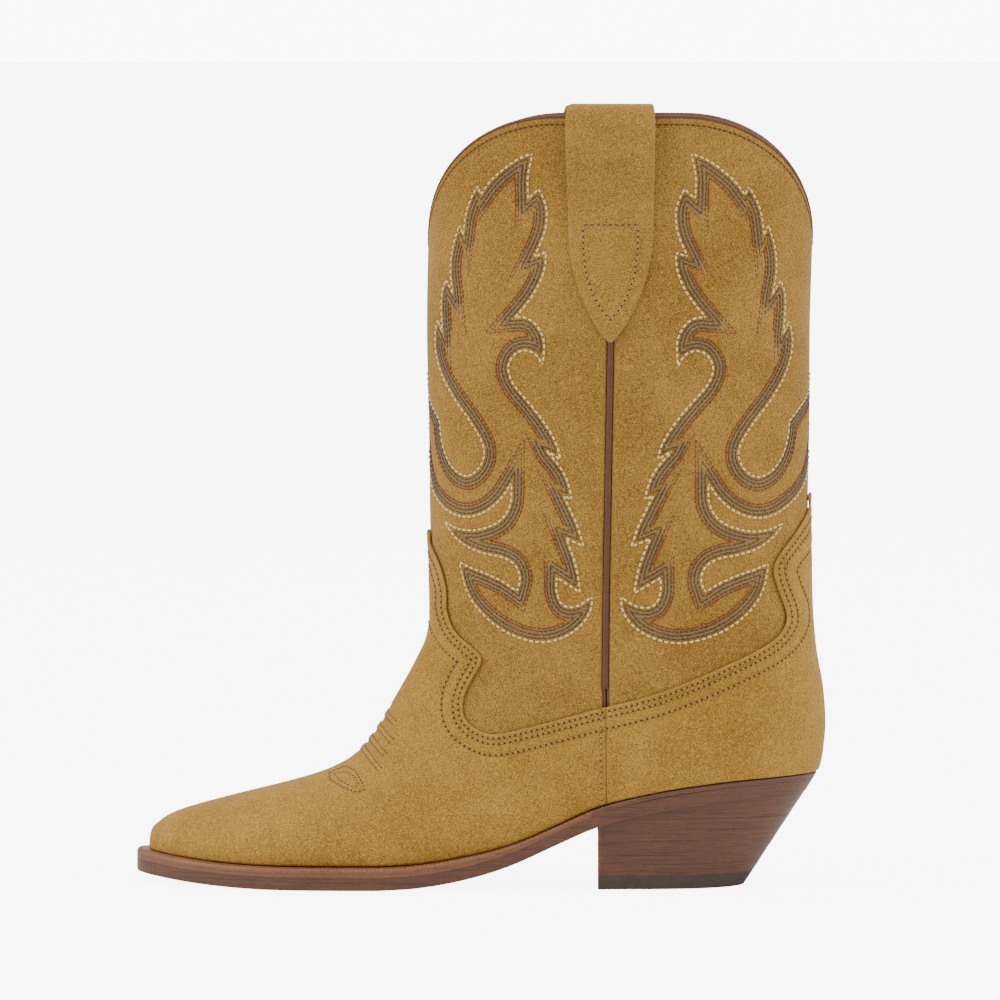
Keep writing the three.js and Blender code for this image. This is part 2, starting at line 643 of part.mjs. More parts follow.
// The outsole keeps inside the sloping back of the heel.
const OUTSOLE_LOOP = EDGE_LOOP.map(({ x, y }) => {
  return new THREE.Vector2(x > BREAST_X ? slopeIn(x, HEEL_TOP - tread(HEEL_END) - OUTSOLE / 2) : x, y);
});
const NAIL_ROOM = 0.6; // a hole is this much wider than what goes through it
const SEAT_NAILS = [[66, -17], [66, 17], [98, -15], [98, 15]].map(([x, y]) => [x * STRETCH, y]);
const TOP_LIFT_NAILS = [[54, -18], [54, 18], [76, -17], [76, 17], [92, 0]].map(([x, y]) => [x * STRETCH, y]);
const SCREW_AT = [80 * STRETCH, 0];
const NAIL_REACH = 12; // how far the nails of the top lift reach above its lower face
const NAIL_RECESS = 1.2;
const HEAD = 0.8; // thickness of a nail's head

/** A round cutter at (x, y) for something of the given diameter. */
function hole(x, y, diameter, from = -20, to = 90) {
  const radius = (diameter + NAIL_ROOM) / 2;
  const cutter = new THREE.CylinderGeometry(radius, radius, to - from, 10);
  cutter.rotateX(Math.PI / 2);
  cutter.translate(x, y, (from + to) / 2);
  return cutter;
}

/** A nail or screw from its head's outer face at one height to its point at another. */
function nail(x, y, headZ, pointZ, diameter) {
  const length = Math.abs(pointZ - headZ);
  const radius = diameter / 2;
  const profile = [[0, 0], [diameter, 0], [diameter, HEAD], [radius, HEAD],
    [radius, length - diameter], [0, length]].map((pair) => new THREE.Vector2(...pair));
  const geometry = new THREE.LatheGeometry(profile, 10);
  geometry.rotateX(pointZ > headZ ? Math.PI / 2 : -Math.PI / 2);
  geometry.translate(x, y, headZ);
  geometry.deleteAttribute('normal');
  geometry.deleteAttribute('uv');
  return outward(mergeVertices(geometry, 1e-4));
}

/** The steel bar that stiffens the arch, or with grow > 0 the slot that it lies in. */
function shankBar(grow) {
  const stations = [-34, -20, 0, 15, 30, 45, 60].map((x) => x * STRETCH);
  const rings = stations.map((x, k) => {
    const end = k === 0 ? -grow : grow;
    const low = outsoleTop(x) + CLEAR - grow * 4;
    const high = outsoleTop(x) + CLEAR + SHANK_THICKNESS + grow * 12;
    const half = SHANK_WIDTH / 2 + grow;
    return [[-half, low], [half, low], [half, high], [-half, high]]
      .map(([y, z]) => new THREE.Vector3(x + end, y, z));
  });
  return loft(rings);
}

// How far inside the lining's outer face the boards of the bottom end.
const STRIP_INSET = 1.2;
const INSOLE_INSET = 1.3;
const FILLER_INSET = 1.6;
const SOCK_INSET = 2.2;

function addSole() {
  const inner = loopAt(inwardsBy(underLining - STRIP_INSET));
  const all = FEATHER_LOOP.map((_, k) => k);
  const ahead = all.filter((k) => Math.max(EDGE_LOOP[k].x, inner[k].x) < BREAST_X - CLEAR);
  const turn = ahead.findIndex((k) => k >= HALF_LOOP);
  const welt = [...ahead.slice(turn), ...ahead.slice(0, turn)];
  addPiece('welt', strip(inner, EDGE_LOOP, welt), BROWN, 0.6);
  const behind = all.filter((k) => Math.min(EDGE_LOOP[k].x, inner[k].x) > BREAST_X);
  addPiece('heel_rand', strip(inner, EDGE_LOOP, behind), BROWN, 0.6);

  const insoleLow = (x) => feather(x) + CLEAR;
  const insoleHigh = (x) => insoleLow(x) + INSOLE;
  addPiece('insole', board(loopAt(inwardsBy(underLining - INSOLE_INSET)), insoleLow, insoleHigh), BOARD, 0.8);
  const sockLow = (x) => insoleHigh(x) + CLEAR;
  const sockHigh = (x) => sockLow(x) + SOCK;
  addPiece('sock_liner', board(loopAt(inwardsBy(underLining - SOCK_INSET)), sockLow, sockHigh), LINING_COLOR, 0.8);

  const fillerLow = (x) => outsoleTop(x) + CLEAR;
  const filler = board(loopAt(inwardsBy(underLining - FILLER_INSET)), fillerLow, feather);
  const headHoles = [...SEAT_NAILS.map(([x, y]) => hole(x, y, 2 * NAIL)), hole(...SCREW_AT, 2 * SCREW)];
  addPiece('cork_filler', cut(filler, [shankBar(CLEAR), ...headHoles]), '#8a6a48', 0.95);
  addPiece('shank', shankBar(0), STEEL, 0.35, 1);
  const shankHoles = [...SEAT_NAILS.map(([x, y]) => hole(x, y, NAIL)), hole(...SCREW_AT, SCREW)];
  addPiece('outsole', cut(board(OUTSOLE_LOOP, tread, outsoleTop), shankHoles), BROWN, 0.6);
}

// ---------- the heel ----------
/** Outline of the heel at height z: the seat's outline, shorter and narrower further down. */
function heelRing(z) {
  const drop = HEEL_TOP - z;
  const shares = [0, 0.25, 0.5, 0.65, 0.78, 0.87, 0.93, 0.97, 1];
  const trace = (side, list) => list.map((share) => {
    const y = follow(side, mix(BREAST_X, HEEL_END, share));
    const across = 1 - (HEEL_SIDE_SLOPE * drop) / (SEAT_WIDTH / 2);
    return new THREE.Vector3(slopeIn(mix(BREAST_X, HEEL_END, share), drop), y * across, z);
  });
  return [...trace(HEEL_LATERAL, shares), ...trace(HEEL_MEDIAL, [...shares].reverse())];
}
const SEAT_WIDTH = 2 * follow(HEEL_MEDIAL, (BREAST_X + HEEL_END) / 2);

function addHeel() {
  const pitch = (SEAT_HEIGHT - TOP_LIFT) / LIFT_COUNT;
  const seatStations = Array.from({ length: 28 }, (_, k) => BREAST_X - 10 + k * 4 * STRETCH);
  const aboveSeat = loft(seatStations.map((x) => {
    return [[-60, tread(x) - CLEAR], [60, tread(x) - CLEAR], [60, 120], [-60, 120]]
      .map(([y, z]) => new THREE.Vector3(x, y, z));
  }));
  const nailHoles = TOP_LIFT_NAILS.flatMap(([x, y]) => [
    hole(x, y, NAIL, -1, NAIL_REACH + CLEAR),
    hole(x, y, 2 * NAIL, -1, NAIL_RECESS + HEAD + CLEAR),
  ]);
  addPiece('top_lift', cut(loft([heelRing(0), heelRing(TOP_LIFT)]), nailHoles), '#4a3f3e', 0.85);
  const seatNailEnd = TOP_LIFT + 2 * pitch + CLEAR;
  const screwEnd = TOP_LIFT + pitch + CLEAR;
  const seatHoles = SEAT_NAILS.map(([x, y]) => hole(x, y, NAIL, seatNailEnd - CLEAR));
  const cutters = [aboveSeat, hole(...SCREW_AT, SCREW, screwEnd - CLEAR), ...seatHoles, ...nailHoles];
  for (let k = 0; k < LIFT_COUNT; k += 1) {
    const blank = loft([heelRing(TOP_LIFT + k * pitch + CLEAR), heelRing(TOP_LIFT + (k + 1) * pitch)]);
    addPiece(`heel_lift_${k + 1}`, cut(blank, cutters), BROWN, 0.6);
  }
  TOP_LIFT_NAILS.forEach(([x, y], k) => {
    addPiece(`top_lift_nail_${k + 1}`, nail(x, y, NAIL_RECESS, NAIL_REACH, NAIL), STEEL, 0.35, 1);
  });
  const headTop = (x) => outsoleTop(x) + 2 * CLEAR + HEAD;
  SEAT_NAILS.forEach(([x, y], k) => {
    addPiece(`seat_nail_${k + 1}`, nail(x, y, headTop(x), seatNailEnd, NAIL), STEEL, 0.35, 1);
  });
  const [x, y] = SCREW_AT;
  addPiece('heel_screw', nail(x, y, headTop(x) + CLEAR, screwEnd, SCREW), STEEL, 0.35, 1);
}

addUpper();
addPiping(-1, 'side_piping_lateral');
addPiping(1, 'side_piping_medial');
addStrap(-1, 'pull_strap_lateral');
addStrap(1, 'pull_strap_medial');
addBinding('top_binding_front', aheadOfSeam(HALF_CLEAR));
addBinding('top_binding_back', behindSeam(HALF_CLEAR));
addSole();
addHeel();

// The origin goes to the middle of the boot's box, on the ground.
const middle = new THREE.Box3().setFromObject(boot).getCenter(new THREE.Vector3());
boot.position.set(-middle.x, -middle.y, 0);

export default boot;
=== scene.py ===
# %% [markdown]
# # A suede western boot
# The boot stands on a fixed frame: a solid model of every hidden and visible part, which gives
# the places. This script makes the surfaces that are looked at: suede, thread, stacked leather.
# Everything is worked out in millimetres, as a bootmaker would, and turned into metres at the end.

# %% Load the frame
import math
import bpy
import numpy as np
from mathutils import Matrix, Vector


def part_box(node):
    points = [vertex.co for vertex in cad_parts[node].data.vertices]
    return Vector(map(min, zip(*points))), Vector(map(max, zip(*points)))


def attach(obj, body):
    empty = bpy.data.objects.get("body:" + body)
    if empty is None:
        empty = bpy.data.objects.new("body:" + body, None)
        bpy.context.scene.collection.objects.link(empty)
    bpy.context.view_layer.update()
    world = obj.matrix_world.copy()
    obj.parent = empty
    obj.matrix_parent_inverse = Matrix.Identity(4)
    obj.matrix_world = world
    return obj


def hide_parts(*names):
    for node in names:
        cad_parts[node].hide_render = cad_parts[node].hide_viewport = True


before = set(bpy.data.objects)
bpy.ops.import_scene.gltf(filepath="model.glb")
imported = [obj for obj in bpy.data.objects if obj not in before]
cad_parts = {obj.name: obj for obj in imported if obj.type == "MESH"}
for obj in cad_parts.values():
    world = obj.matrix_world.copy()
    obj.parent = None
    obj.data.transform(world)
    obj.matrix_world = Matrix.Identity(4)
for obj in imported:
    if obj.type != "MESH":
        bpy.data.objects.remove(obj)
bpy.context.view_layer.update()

BREAST_X = 46.7  # front face of the heel, in the last's own millimetres
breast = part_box("top_lift")[0].x
SHIFT = np.array([breast * 1000 - BREAST_X, 0.0, 0.0])
print("the last sits", SHIFT.round(3), "mm from the frame's origin")

# %% [markdown]
# ## The last
# A boot is built round a last, a foot-shaped block. Here the last is a fan of ovals: level ones
# up the shaft, tipping over at the ankle, and small steep ones at the toe. A place on it is a
# pair (t, phi): t counts the ovals and phi goes round one, 0 at the front and pi at the back.
# A formula is better than a sculpted mesh, because every layer, seam and stitch can ask it for a
# point and a direction, and they all fit together by construction.

# %% The last as a fan of ovals
# front x, front z, back x, back z, half width, front fullness, back fullness, middle y
OVALS = np.array([
    [-22.6, 314, 132.6, 314, 44.6, 0.02, 0.05, 0],
    [-22.3, 270, 132.2, 270, 44.2, 0.02, 0.05, 0],
    [-22.4, 225, 130.4, 225, 43.2, 0.02, 0.06, 0],
    [-22.0, 185, 130.6, 185, 41.8, 0.02, 0.08, 0],
    [-21.3, 150, 129.8, 150, 39.6, 0.02, 0.14, 0],
    [-20.0, 121, 129.9, 119, 37.0, 0.02, 0.24, 0],
    [-20.9, 101, 131.6, 96, 35.0, 0, 0.32, 0],
    [-25.6, 89, 134.6, 77, 33.6, -0.02, 0.38, -0.3],
    [-33.2, 75, 134.9, 59, 32.4, -0.04, 0.42, -0.6],
    [-41.4, 61, 130.4, 42, 31.4, -0.06, 0.42, -1],
    [-50.2, 50.8, 112, 25, 31.0, -0.08, 0.3, -1.4],
    [-58.0, 46.0, 80, 17, 31.4, -0.1, 0.16, -1.8],
    [-66.0, 42.8, 47, 9, 32.6, -0.12, 0.1, -2],
    [-75.0, 40.0, 14, -1, 35.6, -0.14, 0.06, -1.8],
    [-85.0, 37.2, -18, -8, 38.8, -0.16, 0.04, -1],
    [-96.0, 34.3, -48, -10, 39.6, -0.17, 0.02, 0.4],
    [-106.0, 31.6, -74, -9, 36.6, -0.17, 0, 1.8],
    [-115.0, 29.1, -95, -6, 31.0, -0.16, 0, 3],
    [-123.0, 26.4, -112, -2, 23.4, -0.13, 0, 3.8],
    [-129.2, 22.8, -124, 2, 15.0, -0.08, 0, 4.2],
    [-132.6, 17.4, -131, 3, 7.6, 0, 0, 4.4],
    [-131.6, 0, -131.6, 0, 0, 0, 0, 4.4],
])
TOE_OVAL = len(OVALS) - 1.05


def smooth_rows(rows, t):
    """Rows of numbers as one smooth curve, read at t."""
    rows = np.asarray(rows, float)
    last = len(rows) - 1
    t = np.clip(np.asarray(t, float), 0, last)
    first = np.minimum(t.astype(int), last - 1)
    f = (t - first)[..., None]
    a, b, c, d = (rows[np.clip(first + k, 0, last)] for k in (-1, 0, 1, 2))
    return 0.5 * (2 * b + f * (c - a + f * (2 * a - 5 * b + 4 * c - d + f * (3 * b - a - 3 * c + d))))


def last_point(t, phi):
    front_x, front_z, back_x, back_z, half, front_full, back_full, middle = np.moveaxis(
        smooth_rows(OVALS, t), -1, 0)
    across = (1 - np.cos(phi)) / 2
    full = 1 + front_full * np.cos(phi / 2) ** 4 + back_full * np.sin(phi / 2) ** 4
    x = front_x + across * (back_x - front_x)
    z = front_z + across * (back_z - front_z)
    return np.stack(np.broadcast_arrays(x, half * np.sin(phi) * full + middle, z), -1)


def unit(v):
    return v / np.maximum(np.linalg.norm(v, axis=-1, keepdims=True), 1e-9)


def run_along(points):
    """Distance along a line of points from the first to each of them."""
    return np.r_[0, np.cumsum(np.linalg.norm(np.diff(points, axis=0), axis=1))]


def read_at(places, run, points):
    """A line of points read at other distances along it."""
    return np.stack([np.interp(places, run, column) for column in points.T], 1)


def beside(way):
    """Flat directions to the right of each direction of travel."""
    return np.stack([way[:, 1], -way[:, 0]], 1)


def last_normal(t, phi):
    step = 0.02
    along = last_point(t + step, phi) - last_point(t - step, phi)
    around = last_point(t, phi + step) - last_point(t, phi - step)
    return unit(np.cross(around, along))


def on_last(t, phi, distance):
    """A point at a distance outside the last, with the slight unevenness of real leather."""
    t, phi, distance = np.broadcast_arrays(*(np.asarray(v, float) for v in (t, phi, distance)))
    base = last_point(t, phi)
    x, y, z = np.moveaxis(base, -1, 0)
    waves = np.sin(x / 19 + z / 27 + 1) * np.sin(z / 33 - y / 15) + 0.6 * np.sin(x / 11 - z / 14 + y / 21)
    calm = smoothstep(8, 40, z - feather(x)) * smoothstep(0, 30, 330 - z)
    return base + last_normal(t, phi) * (distance + 0.3 * waves * calm)[..., None]


def smoothstep(low, high, value):
    share = np.clip((np.asarray(value, float) - low) / (high - low), 0, 1)
    return share * share * (3 - 2 * share)

# %% [markdown]
# ## Lines seen from the side
# A bootmaker's patterns are drawn from the side: the edge of the vamp, the edge of the heel
# counter, the side seam and the arch of the sole. Each is a short list of points with a smooth
# curve through them. The distance to such a line decides where leather ends, so an edge can be
# cut, rounded and stitched along with one function.

# %% Side-view lines
OUTSOLE, WELT, THINNED = 5.2, 3.5, 1.4  # thickness of sole and welt, and how much the welt loses
CLEAR = 0.3  # kept between neighbours
TOP, DIP = 306.8, 49  # height of the top edge at the sides, and how far it dips
TOE_BREAK_X = -78
SIDE_SEAM = np.array([[52.4, 330], [52, 217], [51, 163.4], [50.1, 115.6], [49.7, 84], [50.2, 66],
                      [50.4, 20]])
ARCH = [[-40, 0], [-24, 1], [-6, 4.1], [12, 9.5], [31, 18.1], [46.7, 25], [66, 30], [85, 33.4],
        [108, 36], [150, 38.6]]
VAMP_EDGE = [[-40, 142.4], [-21.8, 142], [-19.6, 136], [-15.4, 127], [-13.2, 118], [-13, 109.6],
             [-9.6, 101.4], [-0.6, 93.4], [0.6, 90.2], [-1.2, 86.6], [-5.8, 78], [-7, 71.4],
             [-5.2, 66.2], [0.6, 62.4], [8, 61.6], [27, 66.5], [52, 73.6]]
COUNTER_EDGE = [[49, 72.6], [70.7, 78.5], [94, 87.9], [113, 97.2], [119.6, 103.8], [120.4, 110],
                [117.4, 119], [115.7, 126.4], [117.6, 132.4], [124.3, 141.4], [129.4, 150.2],
                [131, 157.4], [150, 158]]


def smooth_line(points, steps=6):
    return smooth_rows(points, np.linspace(0, len(points) - 1, len(points) * steps + 1))


ARCH_LINE = smooth_line(ARCH)
VAMP_LINE, COUNTER_LINE = smooth_line(VAMP_EDGE), smooth_line(COUNTER_EDGE)


def seam_x(z):
    return np.interp(z, SIDE_SEAM[::-1, 1], SIDE_SEAM[::-1, 0])


def tread(x):
    """Underside of the outsole: flat at the ball, up at the toe, arched to the heel."""
    toe = 4.3 * (np.maximum(0, TOE_BREAK_X - x) / 60) ** 2
    return np.where(x > ARCH[0][0], np.interp(x, ARCH_LINE[:, 0], ARCH_LINE[:, 1]), toe)


def feather(x):
    """Top of the welt, where the upper meets it."""
    return tread(x) + OUTSOLE + CLEAR + WELT - THINNED * smoothstep(-15, 30, x)


def top_line(phi):
    """Height of the top edge: level at the sides, a V at the front and back."""
    degrees = np.degrees(np.arccos(np.abs(np.cos(phi))))
    return TOP - DIP * (1 - np.sin(np.pi / 2 * np.minimum(1, degrees / 72)))


def inside(loop, points):
    """Distance inside a closed outline, negative outside, for many 2D points at once."""
    loop = np.asarray(loop, float)
    start, run = np.roll(loop, 1, axis=0), loop - np.roll(loop, 1, axis=0)
    nearest = np.full(len(points), np.inf)
    within = np.zeros(len(points), bool)
    for (ax, az), (dx, dz) in zip(start, run):
        px, pz = points[:, 0] - ax, points[:, 1] - az
        share = np.clip((px * dx + pz * dz) / (dx * dx + dz * dz + 1e-12), 0, 1)
        nearest = np.minimum(nearest, np.hypot(px - share * dx, pz - share * dz))
        if dz:
            within ^= ((pz < 0) != (pz < dz)) & (px < pz / dz * dx)
    return np.where(within, nearest, -nearest)


VAMP_LOOP = np.vstack([VAMP_LINE, [[80, 74], [80, -60], [-200, -60], [-200, 143]]])
COUNTER_LOOP = np.vstack([[[20, 66]], COUNTER_LINE, [[200, 158], [200, -60], [20, -60]]])
ground = np.array([-59.0, 0.0, 80.0])
print("outsole underside at three places", tread(ground).round(2), "welt top", feather(ground).round(2))

# %% [markdown]
# ## Turning numbers into pieces
# Each piece is one mesh. It rides on the boot's only body, names the solid part it stands for,
# and names the finish it takes. A closed mesh can come out inside out, so the sign of its volume
# decides whether to turn it.

# %% Making a piece
MATERIALS = {}
made = []


def volume_of(corners, triangles):
    a, b, c = (corners[triangles[:, k]] for k in range(3))
    return np.einsum("ij,ij->i", a, np.cross(b, c)).sum() / 6


def piece(name, corners, faces, materials, stands_for=(), finish=None, sharp=50):
    """A closed mesh from corners in the last's millimetres and faces as lists of corner numbers."""
    corners = (np.asarray(corners, float) + SHIFT) / 1000
    faces = [list(map(int, face)) for face in faces]
    fans = np.array([(f[0], f[k], f[k + 1]) for f in faces for k in range(1, len(f) - 1)])
    if volume_of(corners, fans) < 0:
        faces = [face[::-1] for face in faces]
    mesh = bpy.data.meshes.new(name)
    mesh.from_pydata(corners.tolist(), [], faces)
    mesh.validate()
    for material in materials:
        mesh.materials.append(MATERIALS[material])
    if finish is not None:
        mesh.polygons.foreach_set("material_index", finish)
    mesh.shade_smooth()
    mesh.set_sharp_from_angle(angle=math.radians(sharp))
    mesh.update()
    obj = bpy.data.objects.new(name, mesh)
    bpy.context.scene.collection.objects.link(obj)
    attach(obj, "root")
    if stands_for:
        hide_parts(*stands_for)
    made.append((name, len(fans)))
    return obj


def tube_faces(count, ring, closed=False, capped=True):
    """Faces that join `count` rings of `ring` corners each."""
    here = np.arange(ring)
    there = (here + 1) % ring
    faces = []
    for k in range(count if closed else count - 1):
        a, b = k * ring, (k + 1) % count * ring
        faces += np.stack([a + here, b + here, b + there, a + there], 1).tolist()
    if capped and not closed:
        faces += [list(range(ring))[::-1], [(count - 1) * ring + k for k in range(ring)]]
    return faces

# %% [markdown]
# ## Finding places on the boot
# Patterns are drawn in the side view, but stitches lie on the curved leather. Two helpers turn
# one into the other. The first finds the (t, phi) under a side-view point. The second unrolls the
# shaft: it measures round the leg from the side seam, so that a figure drawn on flat leather can
# be wrapped on without stretching.

# %% From the side view to the surface
SIDE_T = np.linspace(0, TOE_OVAL, 1400)
SIDE_OVALS = smooth_rows(OVALS, SIDE_T)


def under_side(points, side):
    """(t, phi, on) for side-view points (x, z); `on` is False for points past the outline."""
    t, phi, on = [], [], []
    for x, z in np.asarray(points, float):
        fx, fz, bx, bz = SIDE_OVALS[:, :4].T
        turn = (bx - fx) * (z - fz) - (bz - fz) * (x - fx)
        sign = np.nonzero((turn[:-1] < 0) & (turn[1:] >= 0))[0]
        k = sign[0] if len(sign) else 0
        f = turn[k] / (turn[k] - turn[k + 1]) if len(sign) else 0
        row = SIDE_OVALS[k] * (1 - f) + SIDE_OVALS[k + 1] * f
        run = np.array([row[2] - row[0], row[3] - row[1]])
        across = ((x - row[0]) * run[0] + (z - row[1]) * run[1]) / (run @ run)
        t.append(SIDE_T[k] + f * (SIDE_T[k + 1] - SIDE_T[k]))
        phi.append(side * math.acos(1 - 2 * min(max(across, 0), 1)))
        on.append(0 <= across <= 1)
    return np.array(t), np.array(phi), np.array(on)

# %% [markdown]
# The unrolled shaft is a table: for each height, and each share of the way from the side seam to
# the centre line, it holds the angle on the last. Reading it backwards puts a flat drawing on the
# round leg.

# %% The unrolled shaft
FLAT_T = np.linspace(0, 7, 71)
SHARES = np.linspace(0, 1, 121)
HALF_FRONT, HALF_BACK = 95.0, 101.0  # drawn width of half a shaft panel, seam to centre line


def flat_table(back):
    """phi and height over (t, share), share running from the side seam to the panel's centre."""
    phis, heights, lengths = [], [], []
    for t in FLAT_T:
        seam_phi = phi_at_seam(t)
        phi = np.linspace(seam_phi, math.pi if back else 0, 400)
        line = last_point(np.full(400, t), phi)
        run = run_along(line)
        phis.append(np.interp(SHARES * run[-1], run, phi))
        heights.append(np.interp(SHARES * run[-1], run, line[:, 2]))
        lengths.append(run[-1])
    return np.array(phis), np.array(heights), np.array(lengths)


def phi_at_seam(t):
    """phi at which the oval t crosses the side seam."""
    low, high = 0.2, 3.0
    for _ in range(40):
        middle = (low + high) / 2
        x, _, z = last_point(t, middle)
        low, high = (middle, high) if x < seam_x(z) else (low, middle)
    return low


FLAT = {back: flat_table(back) for back in (False, True)}


def wrap_on(points, back):
    """(t, phi) for flat points (distance from the lateral seam, height) on a shaft panel."""
    half = HALF_BACK if back else HALF_FRONT
    phis, heights, _ = FLAT[back]
    t, phi = np.empty(len(points)), np.empty(len(points))
    for k, (s, z) in enumerate(points):
        side = -1 if s < half else 1
        share = min(s, 2 * half - s) / half
        column = min(max(share, 0), 1) * (len(SHARES) - 1)
        low = min(int(column), len(SHARES) - 2)
        f = column - low
        height = heights[:, low] * (1 - f) + heights[:, low + 1] * f
        t[k] = np.interp(-z, -height, FLAT_T)
        angle = phis[:, low] * (1 - f) + phis[:, low + 1] * f
        value = np.interp(t[k], FLAT_T, angle)
        phi[k] = side * value if not back else (2 * math.pi - value if side < 0 else value)
    return t, phi


print("half panel widths at the top", FLAT[False][2][0].round(1), FLAT[True][2][0].round(1), "mm")

# %% [markdown]
# ## Leather panels
# Leather is cut from a flat hide and lasted until it follows the block. Here a panel is cut from
# a fine net on the last: every cell of the net that an edge crosses is clipped where the distance
# to the edge is zero, and again a little further in, so that the outer face can roll down to a
# soft cut edge. A Boolean would also cut it, but it would leave long thin triangles that shade
# badly on a surface as even as suede.

# %% Cutting a panel
RIM = 0.8  # the cut edge rolls over within this distance
ROLL = 0.55  # and comes down by this much


def net(cell, centre, first=0.0, last=TOE_OVAL):
    """t and phi of a net with cells of about `cell` mm, its seam opposite `centre`."""
    fine = np.linspace(first, last, 1500)
    spread = last_point(fine[:, None], np.linspace(0, 2 * np.pi, 25)[None])
    run = np.r_[0, np.cumsum(np.linalg.norm(np.diff(spread, axis=0), axis=2).max(axis=1))]
    t = np.interp(np.linspace(0, run[-1], int(run[-1] / cell)), run, fine)
    phi = np.linspace(centre - np.pi, centre + np.pi, int(390 / cell))
    return np.meshgrid(t, phi, indexing="ij")


class Cutter:
    """Cells of a net, clipped in turn by each pattern's zero line and split along its rim."""

    def __init__(self, t, phi, values):
        self.t, self.phi = t.ravel().tolist(), phi.ravel().tolist()
        self.values = [value.ravel().tolist() for value in values]
        self.crossings = {}

    def crossing(self, a, b, k, level):
        a, b = min(a, b), max(a, b)
        key = (a, b, k, level)
        if key not in self.crossings:
            va, vb = self.values[k][a], self.values[k][b]
            share = min(max((level - va) / (vb - va), 0.02), 0.98)
            for numbers in (self.t, self.phi, *self.values):
                numbers.append(numbers[a] + share * (numbers[b] - numbers[a]))
            self.crossings[key] = len(self.t) - 1
        return self.crossings[key]

    def part(self, cell, k, level, above=True):
        value, kept = self.values[k], []
        for a, b in zip(cell, cell[1:] + cell[:1]):
            if (value[a] > level) == above:
                kept.append(a)
            if (value[a] > level) != (value[b] > level):
                kept.append(self.crossing(a, b, k, level))
        return kept if len(kept) > 2 else None

    def cut(self, cell):
        for k in range(len(self.values)):
            cell = cell and self.part(cell, k, 0.0)
        cells = [cell] if cell else []
        for k in range(len(self.values)):
            cells = [half for cell in cells for above in (True, False)
                     if (half := self.part(cell, k, RIM, above))]
        return cells


def panel(name, layer, patterns, materials, cell=1.5, centre=0.0, first=0.0, last=TOE_OVAL,
          press=None, rolled=True):
    """A layer of leather between two distances from the last, where every pattern is positive."""
    inner, outer = layer
    t, phi = net(cell, centre, first, last)
    base = last_point(t, phi).reshape(-1, 3)
    values = [pattern(base, phi.ravel()).reshape(t.shape) for pattern in patterns]
    low = np.minimum.reduce(values)
    rows, columns = t.shape
    ids = np.arange(rows * columns).reshape(rows, columns)
    cells = np.stack([ids[:-1, :-1], ids[:-1, 1:], ids[1:, 1:], ids[1:, :-1]], -1).reshape(-1, 4)
    lowest = low.ravel()[cells].min(axis=1)
    highest = np.minimum.reduce([v.ravel()[cells].max(axis=1) for v in values])
    whole = cells[lowest > RIM]
    edged = cells[(lowest <= RIM) & (highest > 0)]
    cutter = Cutter(t, phi, values)
    faces = whole.tolist() + [part for cell_ in edged.tolist() for part in cutter.cut(cell_)]
    used, where = np.unique(np.concatenate([np.array(face) for face in faces]), return_inverse=True)
    ends = np.cumsum([len(face) for face in faces])
    faces = [part.tolist() for part in np.split(where, ends[:-1])]
    t, phi = np.array(cutter.t)[used], np.array(cutter.phi)[used]
    rim = np.minimum.reduce([np.array(value)[used] for value in cutter.values])
    roll = np.clip(1 - rim / RIM, 0, 1) ** 2 * (ROLL if rolled else 0)
    sink = press(last_point(t, phi), t, phi) if press else 0
    top = on_last(t, phi, outer - roll - sink)
    under = on_last(t, phi, inner + 0.4 * roll)
    total = len(used)
    sides = {}
    for face in faces:
        for a, b in zip(face, face[1:] + face[:1]):
            if sides.pop((b, a), None) is None:
                sides[(a, b)] = True
    walls = [[b, a, a + total, b + total] for a, b in sides]
    lower = [[corner + total for corner in face[::-1]] for face in faces]
    finish = [0] * len(faces) + [len(materials) - 1] * (len(lower) + len(walls))
    return piece(name, np.vstack([top, under]), faces + lower + walls, materials, (name,), finish)

# %% [markdown]
# ## Finishes first
# The panels need their materials, so these come before the leather. Everything that more than one
# finish shares is a node group built once: a speckle of fibres, broad soft patches where the nap
# lies the other way, and wear along edges.

# %% Node helpers
def put(tree, kind, inputs=None, **settings):
    """A new node with its settings, and each input either linked or given a value."""
    node = tree.nodes.new("ShaderNode" + kind)
    for key, value in settings.items():
        setattr(node, key, value)
    for key, value in (inputs or {}).items():
        if isinstance(value, bpy.types.NodeSocket):
            tree.links.new(value, node.inputs[key])
        else:
            node.inputs[key].default_value = value
    return node


def node_group(name, inputs, outputs, build):
    tree = bpy.data.node_groups.new(name, "ShaderNodeTree")
    number = "NodeSocketFloat"
    for label, value in inputs.items():
        tree.interface.new_socket(label, in_out="INPUT", socket_type=number).default_value = value
    for label in outputs:
        tree.interface.new_socket(label, in_out="OUTPUT", socket_type=number)
    given = tree.nodes.new("NodeGroupInput").outputs
    result = tree.nodes.new("NodeGroupOutput").inputs
    for label, socket in build(tree, given).items():
        tree.links.new(socket, result[label])
    return tree


def use(tree, group, **values):
    """Places a node group; a name such as Size_mm stands for the input called Size mm."""
    node = tree.nodes.new("ShaderNodeGroup")
    node.node_tree = group
    for key, value in values.items():
        node.inputs[key.replace("_", " ")].default_value = value
    return node.outputs


def math_node(tree, operation, a, b=0.0):
    return put(tree, "Math", {0: a, 1: b}, operation=operation).outputs[0]


def spread(tree, value, low, high, to_low=0.0, to_high=1.0):
    return put(tree, "MapRange", {"Value": value, "From Min": low, "From Max": high,
                                  "To Min": to_low, "To Max": to_high}).outputs[0]


def blend(tree, factor, a, b):
    node = put(tree, "Mix", data_type="RGBA")
    for socket, value in zip((node.inputs[0], node.inputs[6], node.inputs[7]), (factor, a, b)):
        if isinstance(value, bpy.types.NodeSocket):
            tree.links.new(value, socket)
        else:
            socket.default_value = value
    return node.outputs[2]

# %% [markdown]
# Leather and thread are never one even colour. These four effects are what every finish below is
# mixed from. They are measured in millimetres on the object itself, so nothing is unwrapped.

